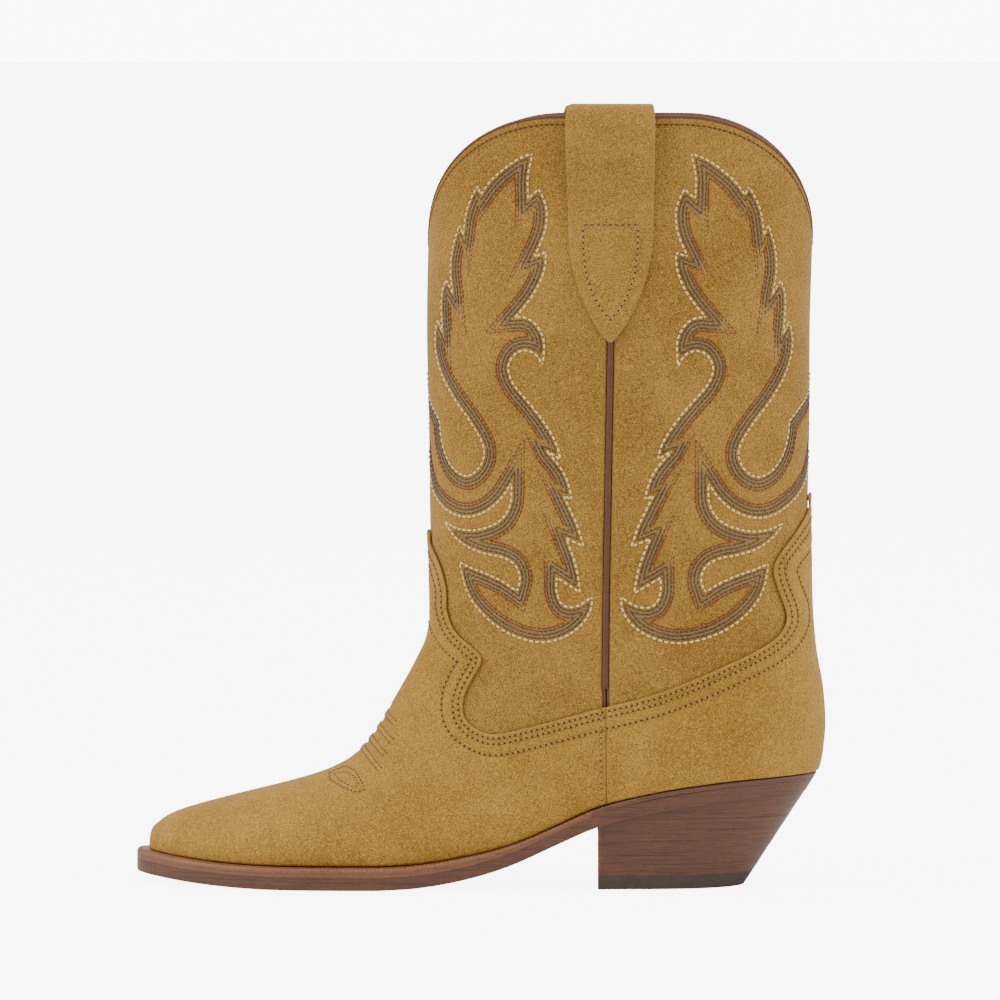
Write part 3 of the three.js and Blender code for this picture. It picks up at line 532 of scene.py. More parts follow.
# %% Shared effects
def fibres(tree, given):
    """Speckle of a given size in millimetres, and its height."""
    place = put(tree, "TexCoord").outputs["Object"]
    per_metre = math_node(tree, "DIVIDE", 1000.0, given["Size mm"])
    noise = put(tree, "TexNoise", {"Vector": place, "Scale": per_metre, "Detail": 3.0, "Roughness": 0.62})
    speckle = spread(tree, noise.outputs["Fac"], 0.34, 0.66)
    return {"Speckle": speckle, "Height": noise.outputs["Fac"]}


def patches(tree, given):
    """Soft islands, drawn out by a warp, where a finger has turned the nap."""
    place = put(tree, "TexCoord").outputs["Object"]
    per_metre = math_node(tree, "DIVIDE", 1000.0, given["Size mm"])
    warp = put(tree, "TexNoise", {"Vector": place, "Scale": per_metre, "Detail": 2.0})
    push = put(tree, "VectorMath", {0: warp.outputs["Color"], 1: (0.03, 0.03, 0.03)}, operation="MULTIPLY")
    moved = put(tree, "VectorMath", {0: place, 1: push.outputs[0]}, operation="ADD").outputs[0]
    noise = put(tree, "TexNoise", {"Vector": moved, "Scale": per_metre, "Detail": 4.0, "Roughness": 0.55,
                                   "Distortion": 0.6})
    return {"Mask": spread(tree, noise.outputs["Fac"], 0.36, 0.64)}


def worn_edges(tree, given):
    """1 on proud edges, broken up so that the wear is not a drawn line."""
    bend = put(tree, "NewGeometry").outputs["Pointiness"]
    edge = spread(tree, bend, 0.5, 0.58)
    place = put(tree, "TexCoord").outputs["Object"]
    noise = put(tree, "TexNoise", {"Vector": place, "Scale": 700.0, "Detail": 3.0}).outputs["Fac"]
    return {"Mask": math_node(tree, "MULTIPLY", math_node(tree, "MULTIPLY", edge, given["Amount"]),
                              spread(tree, noise, 0.3, 0.6, 0.4, 1.0))}


def level_layers(tree, given):
    """Level lines as in a stack of thin layers seen from the side."""
    place = put(tree, "TexCoord").outputs["Object"]
    flat = put(tree, "Mapping", {"Vector": place, "Scale": (24.0, 24.0, 1000.0)}).outputs[0]
    pitch = put(tree, "VectorMath", {0: flat, "Scale": math_node(tree, "DIVIDE", 1.0, given["Size mm"])},
                operation="SCALE").outputs[0]
    noise = put(tree, "TexNoise", {"Vector": pitch, "Scale": 1.0, "Detail": 5.0, "Roughness": 0.7})
    return {"Line": spread(tree, noise.outputs["Fac"], 0.33, 0.67)}


FIBRES = node_group("fibres", {"Size mm": 0.5}, ["Speckle", "Height"], fibres)
PATCHES = node_group("nap patches", {"Size mm": 12.0}, ["Mask"], patches)
WORN = node_group("worn edges", {"Amount": 1.0}, ["Mask"], worn_edges)
LAYERS = node_group("level layers", {"Size mm": 0.6}, ["Line"], level_layers)
print("shared effects:", [g.name for g in (FIBRES, PATCHES, WORN, LAYERS)])

# %% [markdown]
# ## The finishes
# Suede is leather turned flesh side out and sanded. Its fibres scatter light to the side, which
# the sheen of the shader gives, and its colour breaks into speckle and patches. The foot's suede
# is coarser than the shaft's. The edges of sole and heel are burnished calf and stacked leather:
# smooth, brown, faintly glossy and lined from side to side.

# %% Building a finish
def srgb(red, green, blue):
    linear = [((v / 255 + 0.055) / 1.055) ** 2.4 for v in (red, green, blue)]
    return (*linear, 1.0)


def finish(name, recipe, **shader_values):
    """A material whose recipe(tree) gives colour, roughness and height sockets or values."""
    material = bpy.data.materials.new(name)
    material.use_nodes = True
    tree = material.node_tree
    shader = tree.nodes["Principled BSDF"]
    for key, value in shader_values.items():
        shader.inputs[key.replace("_", " ")].default_value = value
    made_of = recipe(tree)
    tree.links.new(made_of["colour"], shader.inputs["Base Color"])
    if "rough" in made_of:
        tree.links.new(made_of["rough"], shader.inputs["Roughness"])
    if "height" in made_of:
        bump = put(tree, "Bump", {"Height": made_of["height"], "Strength": made_of.get("strength", 0.5),
                                  "Distance": made_of.get("deep", 0.0002)})
        tree.links.new(bump.outputs[0], shader.inputs["Normal"])
    MATERIALS[name] = material
    return material


def tone(colour, factor):
    return tuple(min(1.0, v * factor) for v in colour[:3]) + (1.0,)


def both_ways(tree, value, base, below, above, share):
    """The base colour, drawn to one colour where the value is low and to another where it is high."""
    base = blend(tree, spread(tree, value, 0.0, 0.5, share, 0.0), base, below)
    return blend(tree, spread(tree, value, 0.5, 1.0, 0.0, share), base, above)


def suede(dark, light, grain, patch, contrast, deep):
    def recipe(tree):
        fine = use(tree, FIBRES, Size_mm=grain)
        coarse = use(tree, FIBRES, Size_mm=grain * 2.6)
        nap = use(tree, PATCHES, Size_mm=patch)["Mask"]
        broad = use(tree, PATCHES, Size_mm=patch * 3.1)["Mask"]
        worn = use(tree, WORN, Amount=0.5)["Mask"]
        base = blend(tree, spread(tree, nap, 0, 1, 0.3, 0.7), dark, light)
        base = both_ways(tree, broad, base, dark, light, 0.65)
        shade, pale = tone(dark, 1 - contrast), tone(light, 1 + 1.2 * contrast)
        base = both_ways(tree, coarse["Speckle"], base, shade, pale, 0.4 * contrast)
        base = both_ways(tree, fine["Speckle"], base, shade, pale, min(1.0, 2.2 * contrast))
        base = blend(tree, worn, base, light)
        height = math_node(tree, "ADD", fine["Height"], coarse["Height"])
        rough = spread(tree, nap, 0, 1, 0.88, 1.0)
        return {"colour": base, "height": height, "rough": rough, "strength": 0.6, "deep": deep}
    return recipe


def leather(dark, light, grain, gloss, layers=0.0, wear=0.6):
    def recipe(tree):
        grainy = use(tree, FIBRES, Size_mm=grain)
        cloudy = use(tree, PATCHES, Size_mm=9.0)["Mask"]
        worn = use(tree, WORN, Amount=wear)["Mask"]
        cloud = 0.12 if layers else 0.3
        base = blend(tree, spread(tree, cloudy, 0, 1, 0.5 - cloud, 0.5 + cloud), dark, light)
        shade = tone(dark, 0.55)
        base = blend(tree, spread(tree, grainy["Speckle"], 0, 0.5, 0.35, 0.0), base, shade)
        height = grainy["Height"]
        if layers:
            line = use(tree, LAYERS, Size_mm=layers)["Line"]
            thin = use(tree, LAYERS, Size_mm=layers * 0.35)["Line"]
            base = blend(tree, spread(tree, line, 0.0, 0.5, 0.9, 0.0), base, shade)
            base = blend(tree, spread(tree, thin, 0.5, 1.0, 0.0, 0.7), base, light)
            height = math_node(tree, "ADD", height, line)
        base = blend(tree, worn, base, tone(light, 1.7))
        rough = math_node(tree, "ADD", spread(tree, cloudy, 0, 1, gloss, gloss + 0.12),
                          spread(tree, grainy["Speckle"], 0, 1, 0.08, 0.0))
        return {"colour": base, "height": height, "rough": rough, "strength": 0.35, "deep": 0.00015}
    return recipe


def thread(colour):
    def recipe(tree):
        twist = use(tree, FIBRES, Size_mm=0.25)
        base = blend(tree, spread(tree, twist["Speckle"], 0, 0.6, 0.5, 0.0), colour, tone(colour, 0.5))
        return {"colour": base, "height": twist["Height"], "strength": 0.6, "deep": 0.0001}
    return recipe


def metal(tree):
    brushed = use(tree, FIBRES, Size_mm=0.3)
    base = blend(tree, brushed["Speckle"], srgb(120, 122, 126), srgb(176, 178, 182))
    return {"colour": base, "height": brushed["Height"], "strength": 0.2,
            "rough": spread(tree, brushed["Speckle"], 0, 1, 0.28, 0.45)}


NAPPED = dict(Specular_IOR_Level=0.15, Sheen_Weight=0.6, Sheen_Roughness=0.35)
PALE_NAP, BROWN_NAP = srgb(236, 206, 156), srgb(200, 160, 110)
finish("shaft suede", suede(srgb(138, 98, 38), srgb(178, 136, 66), 0.5, 15, 0.4, 0.0004),
       Sheen_Tint=PALE_NAP, **NAPPED)
finish("foot suede", suede(srgb(150, 108, 40), srgb(190, 146, 68), 0.55, 13, 0.36, 0.00045),
       Sheen_Tint=PALE_NAP, **NAPPED)
finish("cut suede edge", suede(srgb(112, 74, 34), srgb(150, 106, 56), 0.4, 6, 0.3, 0.0003),
       Sheen_Tint=BROWN_NAP, **NAPPED)
finish("lining leather", leather(srgb(118, 76, 46), srgb(142, 96, 60), 0.9, 0.5, wear=0.2),
       Coat_Weight=0.05)
finish("board", leather(srgb(150, 112, 72), srgb(184, 144, 98), 0.8, 0.75, layers=0.5))
finish("brown binding", leather(srgb(78, 42, 22), srgb(106, 61, 32), 0.5, 0.5), Coat_Weight=0.05,
       Coat_Roughness=0.3)
finish("welt leather", leather(srgb(88, 48, 28), srgb(136, 86, 52), 0.45, 0.38, layers=1.1, wear=1.0),
       Coat_Weight=0.2, Coat_Roughness=0.3)
finish("stacked leather", leather(srgb(70, 38, 22), srgb(122, 76, 48), 0.4, 0.34, layers=0.7, wear=0.4),
       Coat_Weight=0.15, Coat_Roughness=0.25)
finish("rubber", leather(srgb(70, 58, 52), srgb(88, 75, 66), 0.35, 0.6, wear=0.3), Specular_IOR_Level=0.35)
finish("cork", leather(srgb(120, 84, 52), srgb(160, 118, 76), 1.4, 0.8))
finish("steel", metal, Metallic=1.0)
# The brown thread also serves as painted shade for the creases along the instep folds.
for name, colour, roughness, sheen in (
        ("cream", srgb(255, 228, 150), 0.7, 0.6), ("dark", srgb(58, 44, 26), 0.6, 0.2),
        ("lilac", srgb(152, 130, 124), 0.55, 0.2), ("red", srgb(126, 22, 12), 0.55, 0.2),
        ("tan", srgb(184, 140, 76), 0.7, 0.2), ("brown", srgb(112, 76, 34), 0.7, 0.2)):
    finish(f"{name} thread", thread(colour), Roughness=roughness, Sheen_Weight=sheen)
# Painted shade: the needle holes are coloured dark to stand for the shadow inside them.
finish("needle hole shade", thread(srgb(88, 56, 20)), Roughness=1.0)
print(len(MATERIALS), "finishes")

# %% [markdown]
# ## The upper
# The shaft is two panels joined by piping at the sides. The vamp and the heel counter are laid
# over them, so each has its own thickness and its edge casts a thin shadow. Rows of stitching
# pull the leather down a little, which the press function of a panel does.

# %% Cutting the upper
LEATHER, LINING, PIPING = 1.4, 1.1, 2.4
MIDDLE = (-LEATHER, 0.0)
COVER = (CLEAR, CLEAR + LEATHER)
INSIDE = (-LEATHER - CLEAR - LINING, -LEATHER - CLEAR)
OVERLAP = 11  # the shaft runs on this far under the vamp and the counter
LINING_JOIN = 96
SEAM_GAP = PIPING / 2 + CLEAR
HALF_CLEAR = 0.06
TOE_PUFF_X = -92
EDGE_ROWS = (1.7, 3.9, 8.4)  # rows of stitching, mm in from the edge of vamp and counter
ROW_DEPTH, ROW_WIDTH = 0.28, 0.9  # how a row pulls the leather down
FOLD_HEIGHT, FOLD_WIDTH, FOLD_END = 0.3, 1.3, 1.5
GROOVE_AT, GROOVE_WIDTH = 2.6, 1.2  # the hollow beside each fold
LEAF_HEIGHT = 0.15


def side_view(base):
    return base[:, [0, 2]]


def in_vamp(base, phi):
    return inside(VAMP_LOOP, side_view(base))


def in_counter(base, phi):
    return inside(COUNTER_LOOP, side_view(base))


def over_feather(base, phi):
    return base[:, 2] - feather(base[:, 0]) - 0.7


def below_top(base, phi):
    return top_line(phi) - base[:, 2]


def ahead_of_seam(gap):
    return lambda base, phi: seam_x(base[:, 2]) - gap - base[:, 0]


def behind_seam(gap):
    return lambda base, phi: base[:, 0] - seam_x(base[:, 2]) - gap


def sunk_rows(pattern):
    """Leather pulled down along the rows of stitching that follow a pattern's edge."""
    def press(base, t, phi):
        depth = pattern(base, phi)
        return sum(ROW_DEPTH * np.exp(-((depth - row) / ROW_WIDTH) ** 2) for row in EDGE_ROWS)
    return press


FOLDS = [[(-38.7, 68.4), (-33.9, 64)], [(-42, 63.6), (-35, 56.8)], [(-45.2, 58.8), (-37.5, 51.2)],
         [(-48, 54.8), (-40, 45.2)]]
LEAF = [[(-60.8, 43.2), (-57, 44.8), (-54, 45.8), (-50.2, 44.4), (-47.4, 40.6), (-46.2, 37.8)],
        [(-60.8, 43.2), (-60.2, 41.2), (-56.6, 39.2), (-50.2, 37), (-46.2, 37.8)],
        [(-58.6, 43), (-54.4, 43.8), (-51, 42.6), (-48.6, 39.8), (-51, 38.8), (-56.4, 41), (-58.6, 43)]]


def pinched(base, t, phi):
    """The rows along the edge, the ridges across the instep and the padded leaf before them."""
    flat = side_view(base)
    sink = sunk_rows(in_vamp)(base, t, phi)
    for start, end in np.array(FOLDS, float):
        way = (end - start) / np.linalg.norm(end - start)
        along = (flat - start) @ way
        across = np.abs((flat - start) @ np.array([-way[1], way[0]]))
        fade = (np.maximum(along - np.linalg.norm(end - start), 0) / FOLD_END) ** 2
        sink -= FOLD_HEIGHT * np.exp(-(across / FOLD_WIDTH) ** 2 - fade)
        sink += FOLD_HEIGHT * np.exp(-((across - GROOVE_AT) / GROOVE_WIDTH) ** 2 - fade)
    leaf = inside(np.array(LEAF[0] + LEAF[1][::-1][1:-1], float), flat)
    return sink - LEAF_HEIGHT * smoothstep(-0.4, 1.6, leaf)


panel("vamp", COVER, [in_vamp, ahead_of_seam(HALF_CLEAR), over_feather], ["foot suede", "cut suede edge"],
      cell=1.4, first=3.0, press=pinched)
panel("heel_counter_cover", COVER, [in_counter, behind_seam(HALF_CLEAR), over_feather],
      ["foot suede", "cut suede edge"], cell=1.6, centre=math.pi, first=3.0, last=13.0,
      press=sunk_rows(in_counter))
print("foot leather:", made)

# %% [markdown]
# Board stiffens the toe and the heel between the suede and the lining, and the lining is four
# pieces of thin calf. Only the lining's upper end is seen, so these take a coarser net.

# %% The layers that hardly show
STIFFENER_TOP = 70


def under_join(base, phi):
    return LINING_JOIN - CLEAR - base[:, 2]


hidden = [
    ("vamp_doubler", MIDDLE, [lambda b, p: in_vamp(b, p) - OVERLAP - CLEAR, ahead_of_seam(SEAM_GAP),
                              over_feather, lambda b, p: b[:, 0] - TOE_PUFF_X - CLEAR], "board", 0.0, 3.0),
    ("toe_puff", MIDDLE, [lambda b, p: TOE_PUFF_X - b[:, 0], over_feather], "board", 0.0, 12.0),
    ("heel_stiffener", MIDDLE, [lambda b, p: in_counter(b, p) - OVERLAP - CLEAR, behind_seam(SEAM_GAP),
                                over_feather, lambda b, p: STIFFENER_TOP - b[:, 2]],
     "board", math.pi, 5.0),
    ("vamp_lining", INSIDE, [under_join, ahead_of_seam(CLEAR), over_feather], "lining leather", 0.0, 5.0),
    ("heel_lining", INSIDE, [under_join, behind_seam(CLEAR), over_feather], "lining leather", math.pi, 5.0),
    ("shaft_lining_front", INSIDE, [lambda b, p: b[:, 2] - LINING_JOIN, ahead_of_seam(CLEAR), below_top],
     "lining leather", 0.0, 0.0),
    ("shaft_lining_back", INSIDE, [lambda b, p: b[:, 2] - LINING_JOIN, behind_seam(CLEAR), below_top],
     "lining leather", math.pi, 0.0),
]
for name, layer, patterns, material, centre, first in hidden:
    panel(name, layer, patterns, [material], cell=2.6, centre=centre, first=first,
          rolled=False)
print(len(hidden), "hidden layers")

# %% [markdown]
# ## The figure stitched on the shaft
# Seven rows of thread follow one closed figure on each half of the shaft: two flame-shaped wings
# that meet at the centre line. Drawn flat, half of it is a list of points from the upper middle,
# up along the wing, over its tip, down beside the seam and back to the middle below. The outer
# row is cream; inside it come dark and lilac in turn and then a red one, each the same outline
# moved inwards with mitred corners, which is how the needle turns at a point.

# %% Drawing the figure
# Distance from the side seam and height, mm. Each stretch is one smooth run between two corners.
WING = [
    [(95, 205), (90, 197), (84, 191), (78, 186)],
    [(78, 186), (77.5, 180), (75, 173), (70, 167), (63, 164), (57, 166.5), (53.5, 172), (54.5, 178),
     (60, 186), (68, 195), (75, 204), (79, 212), (80, 219), (78, 226)],
    [(78, 226), (74.5, 220.5)],
    [(74.5, 220.5), (75.5, 231), (75, 237), (72.5, 242)],
    [(72.5, 242), (68.5, 236.5)],
    [(68.5, 236.5), (70, 245), (69, 254), (65, 264)],
    [(65, 264), (63, 260)],
    [(63, 260), (61.5, 268), (59, 274), (55.5, 279.5)],
    [(55.5, 279.5), (54, 276)],
    [(54, 276), (49.5, 281.5), (44, 286), (38, 290), (31.5, 292.5)],
    [(31.5, 292.5), (33.5, 284), (33.5, 274.5)],
    [(33.5, 274.5), (29, 278.5)],
    [(29, 278.5), (26, 271.5), (26, 264), (28, 257.5), (31, 251.5)],
    [(31, 251.5), (26, 253.5)],
    [(26, 253.5), (26.5, 247), (29.5, 239.5), (34, 233), (39, 227.5)],
    [(39, 227.5), (34.5, 227.5), (30, 224.5), (27, 218), (27.5, 208.5)],
    [(27.5, 208.5), (30, 212.5), (34, 214.5), (38.5, 213.5), (41.5, 210), (42, 206), (39.5, 200.5),
     (34, 194.5), (28, 187.5), (23.5, 181), (21, 176), (20, 171.5)],
    [(20, 171.5), (26, 175)],
    [(26, 175), (20.5, 169), (17, 163), (15, 155.5)],
    [(15, 155.5), (18.5, 157)],
    [(18.5, 157), (15.5, 151), (12.5, 144.5), (10, 137)],
    [(10, 137), (17.5, 140)],
    [(17.5, 140), (14.5, 132.5), (12.5, 125.5), (11.5, 118.5)],
    [(11.5, 118.5), (22, 124.5)],
    [(22, 124.5), (22, 118.5), (20, 114), (16.5, 112.5), (11.5, 113.5), (6, 117)],
    [(6, 117), (7, 111), (11.5, 105), (19, 100.5), (28.5, 98.5), (39, 100), (50, 104.5), (60, 112),
     (65.5, 120), (68, 129.5)],
    [(68, 129.5), (62, 127.5), (53.5, 125), (46, 122), (40, 118.5)],
    [(40, 118.5), (38.5, 124), (40.5, 129), (46, 132), (55, 133.5), (63.5, 136), (70.5, 140), (76, 145.5)],
    [(76, 145.5), (68.5, 143), (59.5, 142.5), (51, 144.5), (45, 148), (41.5, 154), (41, 162)],
    [(41, 162), (45.5, 156), (52, 151), (60.5, 148), (69.5, 148.5), (78, 152), (85.5, 157.5),
     (91, 165), (95, 174)],
]
THREAD_ROWS = [("cream", 0.0), ("dark", 1.3), ("lilac", 2.0), ("dark", 2.75), ("lilac", 3.5),
               ("dark", 4.25), ("red", 5.35)]


def run_through(points, spacing=0.7):
    """A smooth run through points, sampled evenly."""
    fine = smooth_rows(points, np.linspace(0, len(points) - 1, len(points) * 12))
    length = run_along(fine)
    even = np.linspace(0, length[-1], max(2, int(length[-1] / spacing)) + 1)
    return read_at(even, length, fine)


def whole_figure(half):
    """The closed outline over both halves of a panel that is 2 * half wide."""
    stretch = half - HALF_FRONT
    runs = []
    for points in WING:
        points = np.array(points, float)
        points[:, 0] += stretch * smoothstep(80, HALF_FRONT, points[:, 0])
        runs.append(run_through(points)[:-1])
    one = np.vstack(runs + [[[half, 174.0]]])
    other = one[::-1][1:-1] * [-1, 1] + [2 * half, 0]
    return np.vstack([one, other])


def moved_in(outline, distance):
    """The outline moved inwards, corners mitred, with False where it would cross itself."""
    before, after = np.roll(outline, 1, axis=0), np.roll(outline, -1, axis=0)
    area = np.sum(outline[:, 0] * after[:, 1] - after[:, 0] * outline[:, 1])
    inwards = -1 if area > 0 else 1
    n1, n2 = (beside(unit(way)) * inwards for way in (outline - before, after - outline))
    mitre = (n1 + n2) / np.maximum(1 + np.sum(n1 * n2, axis=1), 0.13)[:, None]
    moved = outline + mitre * distance
    clear = inside(outline, moved) > distance - 0.12 if distance else np.ones(len(moved), bool)
    return moved, clear


def unbroken(points, good, bridge=2.5):
    """The stretches of a closed line where `good` holds, joined across short gaps."""
    index = np.nonzero(good)[0]
    if len(index) < 4:
        return []
    kept, following = points[index], np.roll(index, -1)
    far = np.linalg.norm(np.roll(kept, -1, axis=0) - kept, axis=1) > bridge
    broken = far & ((following - index) % len(points) != 1)
    if not broken.any():
        return [np.vstack([kept, kept[:1]])]
    first = np.nonzero(broken)[0][0] + 1
    kept, broken = np.roll(kept, -first, axis=0), np.roll(broken, -first)
    ends = np.nonzero(broken)[0] + 1
    return [part for part in np.split(kept, ends[:-1]) if len(part) > 3]


def filled(points, spacing=0.7):
    """The same line with points added on its long straight stretches."""
    run = run_along(points)
    places = np.union1d(run, np.arange(0, run[-1], spacing))
    return read_at(places, run, points)


figures = {back: whole_figure(HALF_BACK if back else HALF_FRONT) for back in (False, True)}
print("figure outline:", [len(outline) for outline in figures.values()], "points")

# %% [markdown]
# Dense rows of thread draw soft leather in, so the shaft stands a little lower under the figure
# than beside it. The panels are cut here because the figure has to be known first.

# %% The shaft panels, drawn in under the thread
def flat_place(t, phi, back):
    """Distance from the lateral seam along the level, scaled to the drawn width."""
    phis, _, _ = FLAT[back]
    half = HALF_BACK if back else HALF_FRONT
    column = np.clip(t / FLAT_T[1], 0, len(FLAT_T) - 1.001)
    low = column.astype(int)
    f = (column - low)[:, None]
    rows = phis[low] * (1 - f) + phis[low + 1] * f
    angle = np.abs(phi) if not back else np.where(phi > math.pi, 2 * math.pi - phi, phi)
    seam, middle = rows[:, 0], rows[:, -1]
    guess = np.clip((angle - seam) / (middle - seam), -0.2, 1)
    for _ in range(3):
        place = np.clip(guess, 0, 1) * (len(SHARES) - 1)
        k = np.minimum(place.astype(int), len(SHARES) - 2)
        here = rows[np.arange(len(t)), k] * (1 - place + k) + rows[np.arange(len(t)), k + 1] * (place - k)
        guess = guess + (angle - here) / (middle - seam)
    share = np.clip(guess, 0, 1)
    lateral = phi < 0 if not back else phi > math.pi
    return np.where(lateral, share * half, 2 * half - share * half)


def drawn_in(back):
    def press(base, t, phi):
        s = flat_place(np.minimum(t, 6.9), phi, back)
        depth = inside(figures[back], np.stack([s, base[:, 2]], 1))
        band = 0.3 * smoothstep(-0.9, 0.3, depth) * (1 - smoothstep(5.2, 6.8, depth))
        return band + 0.12 * np.exp(-((depth + 0.2) / 0.8) ** 2)
    return press


panel("shaft_front", MIDDLE, [lambda b, p: OVERLAP - in_vamp(b, p), ahead_of_seam(SEAM_GAP), below_top],
      ["shaft suede", "cut suede edge"], cell=1.45, last=14.0, press=drawn_in(False))
panel("shaft_back", MIDDLE, [lambda b, p: OVERLAP - in_counter(b, p), behind_seam(SEAM_GAP), below_top],
      ["shaft suede", "cut suede edge"], cell=1.45, centre=math.pi, last=11.0,
      press=drawn_in(True))
print(made[-2:])

# %% [markdown]
# ## Stitches
# A lockstitch shows as a short piece of thread that rises out of one hole and dives into the
# next. Each is a small arched capsule, laid along a line on the leather; all stitches of one
# colour are one mesh. An instanced object for each would be slower, and a painted line would look
# flat from close by.

# %% Laying stitches
AROUND = 6
BODY = np.array([(0.0, 0.35, -0.5), (0.12, 0.85, 0.1), (0.4, 1.0, 0.5), (0.6, 1.0, 0.5), (0.88, 0.85, 0.1),
                 (1.0, 0.35, -0.5)])  # share of the length, share of the radius, rise


def stitch_rows(lines, pitch, length, radius):
    """Corners and faces of stitches along lines; each line is (points, outward directions)."""
    starts, ends, ups = [], [], []
    for points, outwards in lines:
        run = run_along(points)
        count = max(1, int(round(run[-1] / pitch)))
        step = run[-1] / count
        at = (np.arange(count) + 0.5) * step
        half = min(length, step * 0.92) / 2
        for targets, shift in ((starts, -half), (ends, half)):
            targets.append(read_at(at + shift, run, points))
        ups.append(unit(read_at(at, run, outwards)))
    start, end, up = (np.vstack(v) for v in (starts, ends, ups))
    along = unit(end - start)
    across = unit(np.cross(up, along))
    angle = np.arange(AROUND) * 2 * np.pi / AROUND
    corners = []
    for share, size, rise in BODY:
        centre = start + share * (end - start) + up * rise * radius
        for a in angle:
            corners.append(centre + (across * math.cos(a) + up * 0.8 * math.sin(a)) * radius * size)
    corners = np.stack(corners, 1)
    template = tube_faces(len(BODY), AROUND)
    total = len(BODY) * AROUND
    faces = [[corner + k * total for corner in face] for k in range(len(start)) for face in template]
    return corners.reshape(-1, 3), faces


THREAD_LOOKS = {"cream": (2.5, 1.75, 0.42), "dark": (2.0, 1.82, 0.18), "lilac": (2.0, 1.82, 0.17),
                "red": (2.0, 1.82, 0.24)}  # pitch, length and radius of a stitch


def sew(name, lines, material, pitch, length, radius):
    corners, faces = stitch_rows(lines, pitch, length, radius)
    return piece(name, corners, faces, [material], sharp=80)


def on_surface(t, phi, distance):
    """A line on the leather: points and outward directions."""
    return on_last(t, phi, distance), last_normal(t, phi)


def side_line(points, side, distance):
    """A line on the leather under side-view points."""
    t, phi, _ = under_side(points, side)
    return on_surface(t, phi, distance)


def raised(lines, height):
    return [(points + outwards * height, outwards) for points, outwards in lines]


colours = {}
for back, outline in figures.items():
    for colour, distance in THREAD_ROWS:
        for stretch in unbroken(*moved_in(outline, distance)):
            t, phi = wrap_on(filled(stretch), back)
            colours.setdefault(colour, []).append(on_surface(t, phi, -0.12))
for colour, lines in colours.items():
    sew(f"figure_{colour}_thread", lines, f"{colour} thread", *THREAD_LOOKS[colour])
print("threads:", made[-4:])

# %% [markdown]
# The vamp and the counter are held by three rows of tan thread beside their edges. Each row is
# the edge's own line moved inwards and laid on the leather from each side.

# %% Seams of the foot
FOOT_PITCH = 2.3


def edge_rows(line, pattern, side, rows, cover=COVER[1]):
    """Rows beside a side-view line, inside the pattern, on one side of the boot."""
    way = unit(np.gradient(line, axis=0))
    found = []
    for row in rows:
        for sign in (1, -1):
            moved = line + beside(way) * sign * row
            depth = inside(pattern, moved)
            good = np.abs(depth - row) < 0.25
            t, phi, on = under_side(moved, side)
            good &= on & (moved[:, 0] < 200)
            for part in unbroken(np.arange(len(t))[:, None], np.r_[good[:-1], False]):
                k = part[:, 0]
                found.append(on_surface(t[k], phi[k], cover - 0.06))
    return found


foot_lines, joint_lines = [], []
for side in (-1, 1):
    vamp_part = VAMP_LINE[(VAMP_LINE[:, 0] > -22.5) & (VAMP_LINE[:, 0] < 49.8)]
    counter_part = COUNTER_LINE[(COUNTER_LINE[:, 0] > 50.2) & (COUNTER_LINE[:, 0] < 131)]
    foot_lines += edge_rows(run_through(vamp_part, 1.0), VAMP_LOOP, side, EDGE_ROWS)
    foot_lines += edge_rows(run_through(counter_part, 1.0), COUNTER_LOOP, side, EDGE_ROWS)
    heights = np.linspace(72, 24, 40)
    joint = np.stack([seam_x(heights) - 1.9, heights], 1)
    joint_lines.append(side_line(joint, side, COVER[1] - 0.04))
sew("foot_seam_thread", foot_lines, "tan thread", FOOT_PITCH, 1.5, 0.25)
sew("joint_thread", joint_lines, "tan thread", FOOT_PITCH, 1.7, 0.25)
print("foot seams:", made[-2:])

# %% [markdown]
# Where the thread goes in, the needle has left a hole that the pull makes wider. A painted dot
# would do from afar, but a small cone set into the leather also holds a shadow. Its dark colour
# is painted shade for the inside of the hole.

# %% Needle holes
def holes(name, lines, pitch, size):
    """Dimples painted dark as the shade inside the needle holes, halfway between the stitches."""
    found = []
    for points, outwards in lines:
        run = run_along(points)
        count = max(1, int(round(run[-1] / pitch)))
        at = np.arange(count + 1) * run[-1] / count
        along = unit(read_at(at + 0.3, run, points) - read_at(at - 0.3, run, points))
        found.append((read_at(at, run, points), unit(read_at(at, run, outwards)), along))
    centre, up, along = (np.vstack(v) for v in zip(*found))
    across = unit(np.cross(up, along))
    corners = [centre + up * 0.1]
    for a in np.arange(8) * math.pi / 4:
        corners.append(centre + (along * math.cos(a) * 1.1 + across * math.sin(a)) * size - up * 0.05)
    corners.append(centre - up * 0.3)
    corners = np.stack(corners, 1)
    cone = [[0, 1 + k, 1 + (k + 1) % 8] for k in range(8)] + [[9, 1 + (k + 1) % 8, 1 + k] for k in range(8)]
    faces = [[c + k * 10 for c in face] for k in range(len(centre)) for face in cone]
    return piece(name, corners.reshape(-1, 3), faces, ["needle hole shade"], sharp=80)


holes("foot_seam_holes", raised(foot_lines, 0.16), FOOT_PITCH, 0.46)
holes("joint_holes", raised(joint_lines, 0.14), FOOT_PITCH, 0.3)
print("needle holes:", made[-2:])
